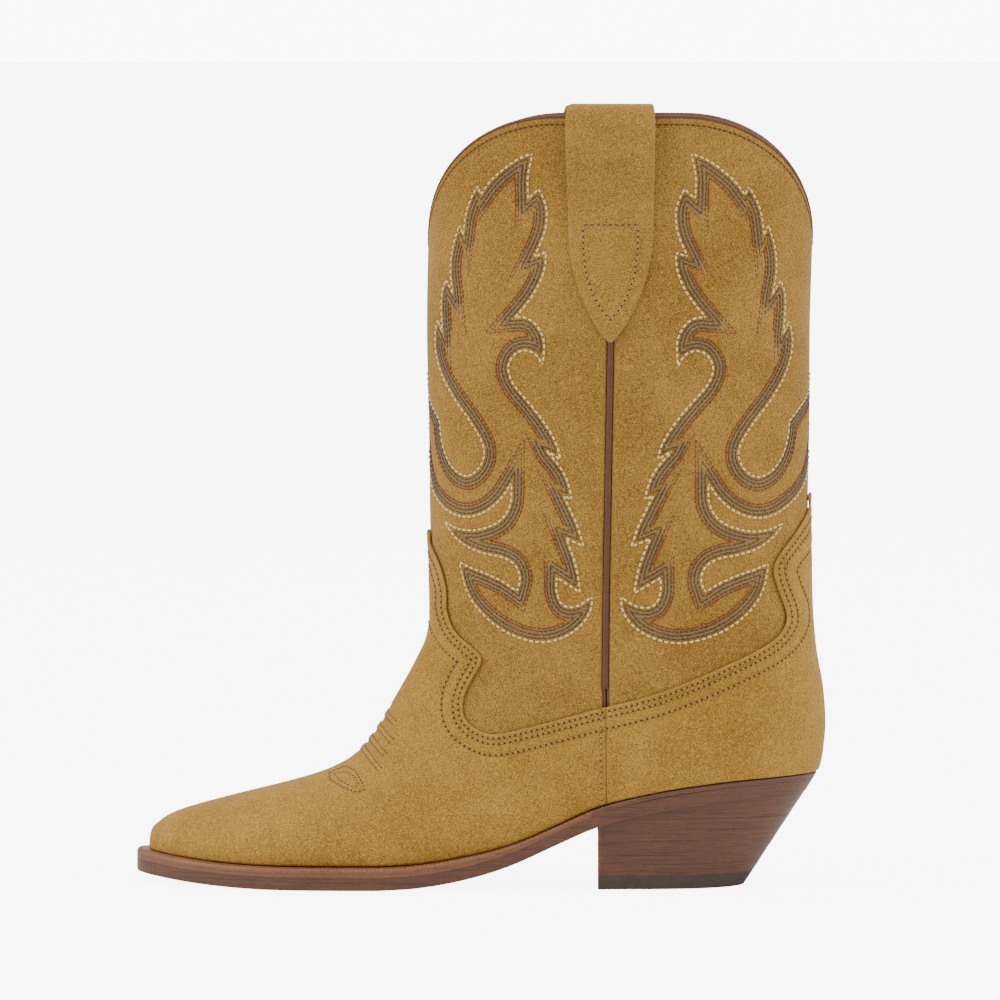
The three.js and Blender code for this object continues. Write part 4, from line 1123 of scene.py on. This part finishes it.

# %% [markdown]
# ## Creases and the toe stitching
# Across the bend of the foot, pairs of sewn ridges run down from the top of the instep, and in
# front of them is a small leaf. The ridges are held by brown thread, dark enough to serve also as
# painted shade for the creases beside them, and the leaf is drawn in tan thread, the colour of the seams.

# %% Instep stitching
INSTEP_PITCH = 1.9
folds, leaf = [], []
for side in (-1, 1):
    for ends in FOLDS:
        for gap in (-0.8, 0.8):
            fold = run_through(np.array(ends, float) + [gap, gap * 0.8], 1.0)
            folds.append(side_line(fold, side, COVER[1] + 0.12))
    for part in LEAF:
        leaf.append(side_line(run_through(np.array(part, float), 1.0), side, COVER[1] + 0.1))
# These brown rows are thread and also painted shade for the creases beside the ridges.
sew("fold_thread_and_crease_shade", folds, "brown thread", INSTEP_PITCH, 1.8, 0.22)
sew("leaf_thread", leaf, "tan thread", INSTEP_PITCH, 1.3, 0.24)
holes("leaf_holes", raised(leaf, 0.14), INSTEP_PITCH, 0.38)
print("instep:", made[-3:])

# %% [markdown]
# ## Piping, binding and the top row
# A strip of brown calf is caught in each side seam, and another is folded over the raw top edge.
# Both are a small section swept along a line on the last: a curve bevel would do the same, but a
# sweep in code follows the leather's own outward direction.

# %% Side piping
def sweep(name, stations, material, stands_for, closed=False, sharp=50):
    """Skins a list of equal closed sections."""
    stations = np.asarray(stations, float)
    count, ring = stations.shape[:2]
    faces = tube_faces(count, ring, closed)
    return piece(name, stations.reshape(-1, 3), faces, [material], stands_for, sharp=sharp)


PIPE = [(-1.15, -1.3), (-1.15, -0.1), (-0.85, 0.16), (-0.4, 0.32), (0, 0.36), (0.4, 0.32), (0.85, 0.16),
        (1.15, -0.1), (1.15, -1.3)]
for side, name in ((-1, "side_piping_lateral"), (1, "side_piping_medial")):
    heights = np.linspace(307.6, 80.2, 220)
    section = []
    for dx, distance in PIPE:
        t, phi, _ = under_side(np.stack([seam_x(heights) + dx, heights], 1), side)
        section.append(on_last(t, phi, distance))
    sweep(name, np.stack(section, 1), "brown binding", (name,))

# %% [markdown]
# The raw top edge of shaft and lining is held by a folded strip of calf. Its section is an open
# hook: up over the suede, across the edge and down the inside. A row of brown stitches holds it.

# %% Top binding
TOP_PITCH = 2.2
OVAL_DROP = 44  # from the first oval to the next
BINDING = [(-0.3, -0.35), (0.02, -0.3), (0.2, 0.1), (0.16, 0.55), (-0.2, 0.85), (-0.9, 1.0), (-2.6, 1.0),
           (-3.6, 0.85), (-4.0, 0.3), (-4.02, -5.6), (-3.8, -6.0), (-3.3, -6.0), (-3.12, -5.6), (-3.0, 0.1),
           (-0.9, 0.1)]
SEAM_PHI = phi_at_seam(0.2)
HALVES = {"front": (-SEAM_PHI, SEAM_PHI), "back": (SEAM_PHI, 2 * math.pi - SEAM_PHI)}


def settled(phi, distance, height):
    """t at which the surface stands at a height near the top, found by repeated correction."""
    t = np.ones(len(phi))
    for _ in range(20):
        t = np.clip(t + (on_last(t, phi, distance)[:, 2] - height) / OVAL_DROP, 0, 3)
    return t


rows = []
for half, (low, high) in HALVES.items():
    phi = np.linspace(low + 0.006, high - 0.006, 260)
    section = [on_last(settled(phi, distance, top_line(phi) + rise), phi, distance)
               for distance, rise in BINDING]
    name = f"top_binding_{half}"
    sweep(name, np.stack(section, 1), "brown binding", (name,))
    phi = np.linspace(low + 0.05, high - 0.05, 300)
    rows.append(on_surface(settled(phi, 0.02, top_line(phi) - 2.9), phi, 0.02))
sew("top_row_thread", rows, "brown thread", TOP_PITCH, 1.5, 0.24)
holes("top_row_holes", raised(rows, 0.12), TOP_PITCH, 0.44)
print("piping, binding, top row:", made[-6:])

# %% [markdown]
# ## Pull straps
# A pull strap is one strip of suede: pointed at its outer end, folded over the top line and sewn
# down inside and out, standing off the shaft in between so that fingers fit. The line of its
# under face is drawn as distance from the last against height, then made smooth, and the strip's
# section is carried along it.

# %% Folding the straps
STRAP_HALF, STRAP_THICK, STRAP_GAP, STAND_OFF = 16.6, 1.9, 0.8, 7.5
STRAP_TIP, SEWN, CREST = 217.5, 262.0, 312.2
MEDIAL_AHEAD, MEDIAL_LOWER = 4.0, 1.4
STRAP_STATIONS, STRAP_BEND, STRAP_PITCH = 150, 8.0, 2.4
shoulder = CREST - STRAP_THICK - STRAP_BEND
strap_inner = INSIDE[0] - CLEAR - 0.9 - STRAP_GAP
fold_inner = strap_inner - STAND_OFF / 2
fold_outer = STRAP_GAP + STAND_OFF


def strap_half(z):
    share = np.clip((np.asarray(z, float) - STRAP_TIP) / 46, 0, 1)
    return STRAP_HALF * np.sin(np.pi / 2 * share ** 0.8)


def mix(a, b, share):
    return a + (b - a) * share


line = [(STRAP_GAP, STRAP_TIP + rise) for rise in (0.6, 3, 7, 12, 22, 34)] + [(STRAP_GAP, SEWN)]
line += [(mix(STRAP_GAP, fold_outer, smoothstep(0, 1, s)), mix(SEWN, shoulder, s)) for s in (0.3, 0.7, 1)]
for degrees in (35, 65, 90, 115, 145):
    angle = math.radians(degrees)
    share = math.copysign(abs(math.cos(angle)) ** 0.7, math.cos(angle))
    line.append((mix(fold_inner, fold_outer, (1 + share) / 2),
                 shoulder + STRAP_BEND * math.sin(angle) ** 0.6))
line += [(fold_inner, shoulder), (mix(fold_inner, strap_inner, 0.8), mix(shoulder, SEWN, 0.5)),
         (strap_inner, SEWN)]
line = np.array([(float(d), float(z)) for d, z in line])
SEWN_PLACE = 6  # the place in this line where the strap leaves the shaft
place = np.linspace(0, len(line) - 1, STRAP_STATIONS)
strap_line = smooth_rows(line, place)
strap_way = unit(np.gradient(strap_line, axis=0))
half = np.where(place <= SEWN_PLACE, strap_half(strap_line[:, 1]), STRAP_HALF)
# Across the strip: share of the half width, share of the thickness.
flat = np.linspace(-0.94, 0.94, 11)
STRIP = [(-0.985, 0.06)] + [(s, 0.0) for s in flat] + [(0.985, 0.06), (1.0, 0.4), (0.985, 0.85)]
STRIP += [(s, 1.0) for s in flat[::-1]] + [(-0.985, 0.85), (-1.0, 0.4)]


def strap_point(side, share, thick):
    """One line of corners along the strap, at a share of its width and thickness."""
    ahead, lower = (MEDIAL_AHEAD, MEDIAL_LOWER) if side > 0 else (0, 0)
    height = strap_line[:, 1] - strap_way[:, 0] * thick - lower
    x = seam_x(strap_line[:, 1]) - ahead + share * half
    t, phi, _ = under_side(np.stack([x, height], 1), side)
    return on_last(t, phi, strap_line[:, 0] + strap_way[:, 1] * thick)


def on_strap(z):
    """How far the strap's outer face stands off the shaft at height z."""
    outer = strap_line[:int((SEWN_PLACE + 0.5) * STRAP_STATIONS / len(line))]
    return np.interp(z, outer[:, 1], outer[:, 0]) + STRAP_THICK


# Half of the stitched box: height, distance from the middle of the strap.
BOX_SIDE = [(264.4, 10.7), (253, 10.5), (244, 9.2), (236, 6.4), (231, 3.4), (227, 0.1)]
strap_rows, top_rows = [], []
for side, name in ((-1, "pull_strap_lateral"), (1, "pull_strap_medial")):
    section = [strap_point(side, share, thick * STRAP_THICK) for share, thick in STRIP]
    sweep(name, np.stack(section, 1), "shaft suede", (name,))
    rise = np.linspace(BOX_SIDE[0][0], BOX_SIDE[-1][0], 30)
    inset = np.interp(-rise, [-z for z, _ in BOX_SIDE], [x for _, x in BOX_SIDE])
    fine = np.vstack([np.stack([-inset, rise], 1), np.stack([inset, rise], 1)[::-1]])
    ahead, lower = (MEDIAL_AHEAD, MEDIAL_LOWER) if side > 0 else (0, 0)
    out = on_strap(fine[:, 1])
    fine = np.stack([seam_x(fine[:, 1]) - ahead + fine[:, 0], fine[:, 1] - lower], 1)
    strap_rows.append(side_line(fine, side, out + 0.02))
    level = np.linspace(-BOX_SIDE[0][1], BOX_SIDE[0][1], 24)
    heights = np.full(24, BOX_SIDE[0][0] - lower)
    across = np.stack([seam_x(heights) - ahead + level, heights], 1)
    top_rows.append(side_line(across, side, on_strap(heights + lower) + 0.05))
sew("pull_strap_thread", strap_rows, "tan thread", STRAP_PITCH, 1.7, 0.27)
holes("pull_strap_holes", raised(strap_rows, 0.1), STRAP_PITCH, 0.42)
sew("pull_strap_top_thread", top_rows, "dark thread", STRAP_PITCH, 1.7, 0.3)
print("straps:", made[-5:])

# %% [markdown]
# ## The feather line
# Upper and sole meet at the feather line, a closed loop round the last. Every part of the bottom
# is that loop moved out or in and given a height. It is found by halving: along each oval of the
# foot there is one angle where the last drops below the welt's top.

# %% Tracing the feather line
HEEL_OVAL, TOE_FROM = 9.3, 17  # ovals between which the line runs along the sides
SIDE_POINTS = 260


def halve(low, high, above):
    low, high = np.array(low, float), np.array(high, float)
    for _ in range(44):
        middle = (low + high) / 2
        up = above(middle)
        low, high = np.where(up, middle, low), np.where(up, high, middle)
    return low


def over_welt(t, phi):
    point = last_point(t, phi)
    return point[..., 2] > feather(point[..., 0])


def feather_side(side):
    """x, y of the feather line from the toe's tip to the back of the heel."""
    tip = halve(0.0, TOE_OVAL - TOE_FROM, lambda s: over_welt(TOE_FROM + s, 0.0)) + TOE_FROM
    t = np.r_[np.linspace(tip - 0.003, TOE_FROM, 90), np.linspace(TOE_FROM - 0.04, HEEL_OVAL, 240)]
    phi = halve(np.zeros(len(t)), np.full(len(t), math.pi), lambda p: over_welt(t, side * p))
    heel_phi = np.linspace(phi[-1], math.pi, 60)[1:]
    heel_t = halve(np.full(len(heel_phi), HEEL_OVAL - 3), np.full(len(heel_phi), HEEL_OVAL + 1),
                   lambda s: over_welt(s, side * heel_phi))
    start = last_point(tip, 0.0)[None, :2]
    path = np.vstack([start, last_point(t, side * phi)[:, :2], last_point(heel_t, side * heel_phi)[:, :2]])
    run = run_along(path)
    even = np.linspace(0, run[-1], SIDE_POINTS)
    return read_at(even, run, path)


lateral_side, medial_side = feather_side(-1), feather_side(1)
tip = (lateral_side[0] + medial_side[0]) / 2
back = (lateral_side[-1] + medial_side[-1]) / 2
LOOP = np.vstack([[tip], lateral_side[1:-1], [back], medial_side[1:-1][::-1]])
for _ in range(3):
    LOOP = (np.roll(LOOP, 1, axis=0) + 2 * LOOP + np.roll(LOOP, -1, axis=0)) / 4


def loop_at(margin):
    """The feather line moved outwards by margin(x)."""
    way = unit(np.roll(LOOP, -1, axis=0) - np.roll(LOOP, 1, axis=0))
    distance = margin(LOOP[:, 0]) if callable(margin) else np.full(len(LOOP), margin)
    return LOOP + beside(way) * distance[:, None]


def edge_margin(x):
    ahead = mix(5.0, 2.4, smoothstep(-30, 40, x))
    return COVER[1] + mix(ahead, 0.0, smoothstep(40, 70, x))


EDGE = loop_at(edge_margin)
BACK_SLOPE = 0.65  # how far the heel comes forward for each mm down


def slope_in(x, z):
    """Where x comes to lie on the sloping back of the heel at height z."""
    end = EDGE[:, 0].max()
    length = end - BREAST_X
    share = (length - BACK_SLOPE * (feather(end) - z)) / length
    return np.where(x > BREAST_X, BREAST_X + (x - BREAST_X) * share, x)


print("feather line is", round(float(np.linalg.norm(np.diff(LOOP, axis=0), axis=1).sum())), "mm round")

# %% [markdown]
# ## Sole, welt and rand
# The outsole is a board with a burnished, slightly rounded edge. The welt is a strip sewn round
# the forefoot; a hot wheel has pressed fine ridges into its upper edge. Behind the breast of the
# heel the same strip is called the rand.

# %% Boards
COLUMNS = 12  # across a board, from side to side


def lid(lateral, medial, corners, grid):
    """Faces between two sides of a loop; its inner corners are added to `corners`.

    `grid` holds the rows of corners that are there already."""
    for a, b in zip(lateral[len(grid):], medial[len(grid):]):
        if a == b:
            grid.append([a] * (COLUMNS + 1))
            continue
        first = len(corners)
        for k in range(1, COLUMNS):
            corners.append(corners[a] + (corners[b] - corners[a]) * k / COLUMNS)
        grid.append([a, *range(first, first + COLUMNS - 1), b])
    faces = []
    for row, following in zip(grid, grid[1:]):
        for k in range(COLUMNS):
            face = [row[k], following[k], following[k + 1], row[k + 1]]
            face = [c for i, c in enumerate(face) if c != face[i - 1]]
            if len(face) > 2:
                faces.append(face)
    return faces


def board(name, rings, lateral, medial, material, front=0, sharp=40):
    """A flat piece from rings, lowest first, with a grid over its top and bottom.

    `front` counts the corners that end each ring and close it across the front."""
    corners = list(np.vstack(rings))
    ring = len(rings[0])
    faces = tube_faces(len(rings), ring, capped=False)
    for base, turned in ((0, True), ((len(rings) - 1) * ring, False)):
        sides = [[base + k for k in line] for line in (lateral, medial)]
        across = [sides[0][0], *(base + ring - 1 - k for k in range(front)), sides[1][0]]
        found = lid(*sides, corners, [across] if front else [])
        faces += [face[::-1] for face in found] if turned else found
    return piece(name, corners, faces, [material], (name,), sharp=sharp)


WHOLE = len(LOOP)
LATERAL = list(range(SIDE_POINTS))
MEDIAL = [(WHOLE - k) % WHOLE for k in range(SIDE_POINTS)]


def at_height(flat, z):
    """A loop at height z(x), its back following the slope of the heel."""
    x = slope_in(flat[:, 0], z(flat[:, 0]))
    return np.column_stack([x, flat[:, 1], z(x)])


BREAST_EDGE = (BREAST_X - 1, BREAST_X + 2)  # behind it the outsole's edge is square
SOLE_EDGE = [(1.3, 0.0), (0.5, 0.12), (0.12, 0.6), (0.0, 1.3), (0.0, 4.0), (0.0, 5.0), (0.0, OUTSOLE + 0.2)]
rings = [at_height(loop_at(lambda x, i=inset: edge_margin(x) - i * (1 - smoothstep(*BREAST_EDGE, x))),
                   lambda x, r=rise: tread(x) + r)
         for inset, rise in SOLE_EDGE]
board("outsole", rings, LATERAL, MEDIAL, "stacked leather")

# %% [markdown]
# Welt and rand are swept like the piping, but their section is worked out anew at each station,
# and the ridges of the wheel are a cosine along the strip.

# %% Welt and rand
INNER = loop_at(INSIDE[0] - CLEAR - 1.2)
RIDGE, STRIP_SPACING = 1.7, 0.42  # pitch of the wheel's ridges and of the stations
JOINT = 0.05  # between welt and rand, in steps of the loop


def edge_strip(name, start, end, ridge_depth, material):
    """The strip from one place in the loop to another, with ridges along its outer top edge."""
    step = np.linalg.norm(EDGE - np.roll(EDGE, -1, axis=0), axis=1)
    stations = np.linspace(start, end, int((end - start) * step.mean() / STRIP_SPACING))
    low = np.floor(stations).astype(int)
    f = (stations - low)[:, None]

    def read(loop):
        return loop[low % WHOLE] * (1 - f) + loop[(low + 1) % WHOLE] * f
    outer, inner = read(EDGE), read(INNER)
    run = run_along(outer)
    ridge = ridge_depth * (0.5 + 0.5 * np.cos(2 * np.pi * run / RIDGE))
    inwards = unit(inner - outer)
    width = np.linalg.norm(inner - outer, axis=1)
    base, top = tread(outer[:, 0]) + OUTSOLE + 0.12, feather(outer[:, 0])
    bead = np.minimum(0.75, 0.4 * (top - base))
    section = [(0.0, base), (0.0, base + 0.1), (0.0, mix(base, top, 0.4)), (0.06, top - bead),
               (0.3, top - 0.43 * bead - 0.6 * ridge), (0.8, top - 0.1 * bead - ridge),
               (1.7, top - 0.8 * ridge), (2.3, top)]
    rows = []
    for d, z in section:
        flat = outer + inwards * np.minimum(d, 0.8 * width)[:, None]
        rows.append(np.column_stack([slope_in(flat[:, 0], z), flat[:, 1], z]))
    rows.append(np.column_stack([inner, feather(inner[:, 0])]))
    rows.append(np.column_stack([inner, tread(inner[:, 0]) + OUTSOLE + CLEAR]))
    return sweep(name, np.stack(rows, 1), material, (name,), sharp=60)


furthest = np.maximum(EDGE[:, 0], INNER[:, 0])
lateral_welt = max(k for k in LATERAL if furthest[k] < BREAST_X - CLEAR)
medial_welt = min(k for k in range(SIDE_POINTS, WHOLE) if furthest[k] < BREAST_X - CLEAR)
edge_strip("welt", medial_welt, WHOLE + lateral_welt, 0.34, "welt leather")
edge_strip("heel_rand", lateral_welt + JOINT, medial_welt - JOINT, 0.2, "stacked leather")
print("bottom:", made[-3:])

# %% [markdown]
# ## The heel
# A stacked heel is seven lifts of thick leather, each cut to the heel's outline at its own
# height, with a rubber lift below. The outline shrinks towards the ground: much at the back, a
# little at the sides, not at all at the front face. The upper lifts are wedges, because the seat
# they meet slopes.

# %% Stacking the lifts
SIDE_SLOPE, TOP_LIFT, LIFT_COUNT = 0.1, 5.6, 7
HOLLOW = 1.2  # how far the heel's front face curves in
THIN_END = 0.35  # a wedge is cut off where it gets thinner
JOINT_LINE = 0.03  # between two lifts
heel_x = EDGE[:, 0].max()
heel_top = float(feather(heel_x))
seat_height = float(tread(heel_x)) - CLEAR
pitch = (seat_height - TOP_LIFT) / LIFT_COUNT
seat_half = EDGE[(EDGE[:, 0] > 85), 1].max()
lateral_heel = EDGE[[k for k in LATERAL if EDGE[k, 0] >= BREAST_X - 1.5]]
medial_heel = EDGE[[k for k in MEDIAL if EDGE[k, 0] >= BREAST_X - 1.5]]
HEEL_STATIONS = 90


def heel_side(flat, start):
    """Stations along one side from x = start to the back, evenly along the curve."""
    run = run_along(flat)
    begin = np.interp(start, flat[:, 0], run)
    even = np.linspace(begin, run[-1], HEEL_STATIONS)
    return read_at(even, run, flat)


def heel_ring(start, height):
    """The heel's outline where height(x) gives its z; the front face is slightly hollow."""
    lateral, medial = heel_side(lateral_heel, start), heel_side(medial_heel, start)
    share = np.linspace(0, 1, COLUMNS + 1)[1:-1, None]
    front = mix(medial[0], lateral[0], share)
    hollow = HOLLOW * np.sin(np.pi * share[:, 0]) if start < BREAST_X + 1 else 0
    flat = np.vstack([lateral, medial[::-1][1:], front])
    z = height(flat[:, 0])
    for _ in range(3):
        x = slope_in(flat[:, 0], z)
        z = height(x)
    y = flat[:, 1] * (1 - SIDE_SLOPE * (heel_top - z) / seat_half)
    x[-len(front):] += hollow
    return np.column_stack([x, y, z])


def shrunk(ring, inset):
    way = unit(np.roll(ring, -1, axis=0) - np.roll(ring, 1, axis=0))
    return ring - np.column_stack([beside(way), np.zeros(len(ring))]) * inset


def lift(name, low, high, material, inset):
    """One lift between two heights, cut off where the seat is lower."""
    def seat(x):
        return np.minimum(high, tread(x) - JOINT_LINE)
    start = BREAST_X
    while float(seat(start)) < low + THIN_END:
        start += 0.25
    shape = [(0.0, 0.03), (0.05, 0.0), (0.3, 0.0), (0.7, 0.0), (0.95, 0.0), (1.0, 0.03)]
    rings = [shrunk(heel_ring(start, lambda x, s=share: low + s * (seat(x) - low)), extra + inset)
             for share, extra in shape]
    lateral = list(range(HEEL_STATIONS))
    medial = list(range(HEEL_STATIONS - 1, 2 * HEEL_STATIONS - 1))[::-1]
    return board(name, rings, lateral, medial, material, front=COLUMNS - 1, sharp=35)


lift("top_lift", 0.0, TOP_LIFT, "rubber", 0.0)
for k, uneven in enumerate((0.0, 0.04, 0.01, 0.05, 0.0, 0.03, 0.01)):
    foot = TOP_LIFT + k * pitch
    lift(f"heel_lift_{k + 1}", foot + JOINT_LINE, foot + pitch, "stacked leather",
         uneven)
print("heel:", made[-8:])

# %% [markdown]
# ## What stays as it is
# The insole, cork, shank, nails and screw have the right shape in the solid model already, so
# they only take a finish. Nothing may be moved or reshaped there.

# %% Finishes for the hidden hardware
KEPT = {"insole": "board", "sock_liner": "lining leather", "cork_filler": "cork", "shank": "steel",
        "heel_screw": "steel"}
for node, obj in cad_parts.items():
    if "nail" in node:
        KEPT[node] = "steel"
for node, material in KEPT.items():
    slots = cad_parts[node].data.materials
    slots.clear()
    slots.append(MATERIALS[material])
print("kept from the solid model:", sorted(KEPT))

# %% [markdown]
# ## Light, floor and camera
# The boot stands on a plain pale floor under large soft lights, seen from the outer side and a
# little above, from far away through a long lens, so that its lines stay nearly parallel.

# %% Floor and light
PAPER = (10.0, 10.0, 10.05, 1.0)  # what the camera sees past the boot: paper under full light


def seen_by_camera(tree):
    return put(tree, "LightPath").outputs["Is Camera Ray"]


def floor_recipe(tree):
    faint = use(tree, PATCHES, Size_mm=400.0)["Mask"]
    return {"colour": blend(tree, faint, srgb(238, 238, 238), srgb(240, 240, 240))}


paper = finish("floor", floor_recipe, Roughness=0.9, Specular_IOR_Level=0.1).node_tree
paper.nodes["Principled BSDF"].inputs["Emission Color"].default_value = PAPER
paper.links.new(math_node(paper, "MULTIPLY", seen_by_camera(paper), 0.725),
                paper.nodes["Principled BSDF"].inputs["Emission Strength"])
bpy.ops.mesh.primitive_circle_add(vertices=96, radius=60, fill_type="NGON", location=(0, 0, -0.0002))
floor = bpy.context.object
floor.name = "floor"
floor.data.materials.append(MATERIALS["floor"])

world = bpy.data.worlds.new("studio")
world.use_nodes = True
sky = world.node_tree
backdrop = sky.nodes["Background"]
backdrop.inputs["Strength"].default_value = 1.0
around = tone(srgb(246, 246, 247), 0.75)
sky.links.new(blend(sky, seen_by_camera(sky), around, PAPER), backdrop.inputs["Color"])
bpy.context.scene.world = world


def soft_light(name, place, power, size):
    lamp = bpy.data.lights.new(name, "AREA")
    lamp.energy, lamp.size = power, size
    obj = bpy.data.objects.new(name, lamp)
    obj.location = place
    obj.rotation_euler = (Vector((0, 0, 0.15)) - Vector(place)).to_track_quat("-Z", "Y").to_euler()
    bpy.context.scene.collection.objects.link(obj)


soft_light("overhead", (0.0, -0.4, 2.4), 28, 2.2)
soft_light("left", (-2.2, -0.8, 1.4), 30, 1.6)
soft_light("right", (2.2, -0.4, 1.2), 22, 1.4)
soft_light("behind", (0.4, 2.4, 1.6), 8, 1.8)

# %% [markdown]
# A long lens from four metres away keeps the boot's upright lines upright, as in a catalogue.

# %% Camera
DISTANCE, TURN, EYE = 4000.0, math.radians(2.2), 350.0
target = np.array([6.6, 0.0, 153.3]) + SHIFT
eye = target * [1, 1, 0] + [DISTANCE * math.sin(TURN), -DISTANCE * math.cos(TURN), EYE]
camera = bpy.data.objects.new("camera", bpy.data.cameras.new("camera"))
camera.location = eye / 1000
camera.rotation_euler = Vector((target - eye).tolist()).to_track_quat("-Z", "Y").to_euler()
camera.data.sensor_width = 36
camera.data.lens = 36 * float(np.linalg.norm(target - eye)) / 400
bpy.context.scene.collection.objects.link(camera)
bpy.context.scene.camera = camera
print("camera lens", round(camera.data.lens, 1), "mm")

# %% [markdown]
# The last step counts the triangles in what was made beside the solid model.

# %% Count the triangles
print(sum(count for _, count in made), "triangles in", len(made), "pieces")
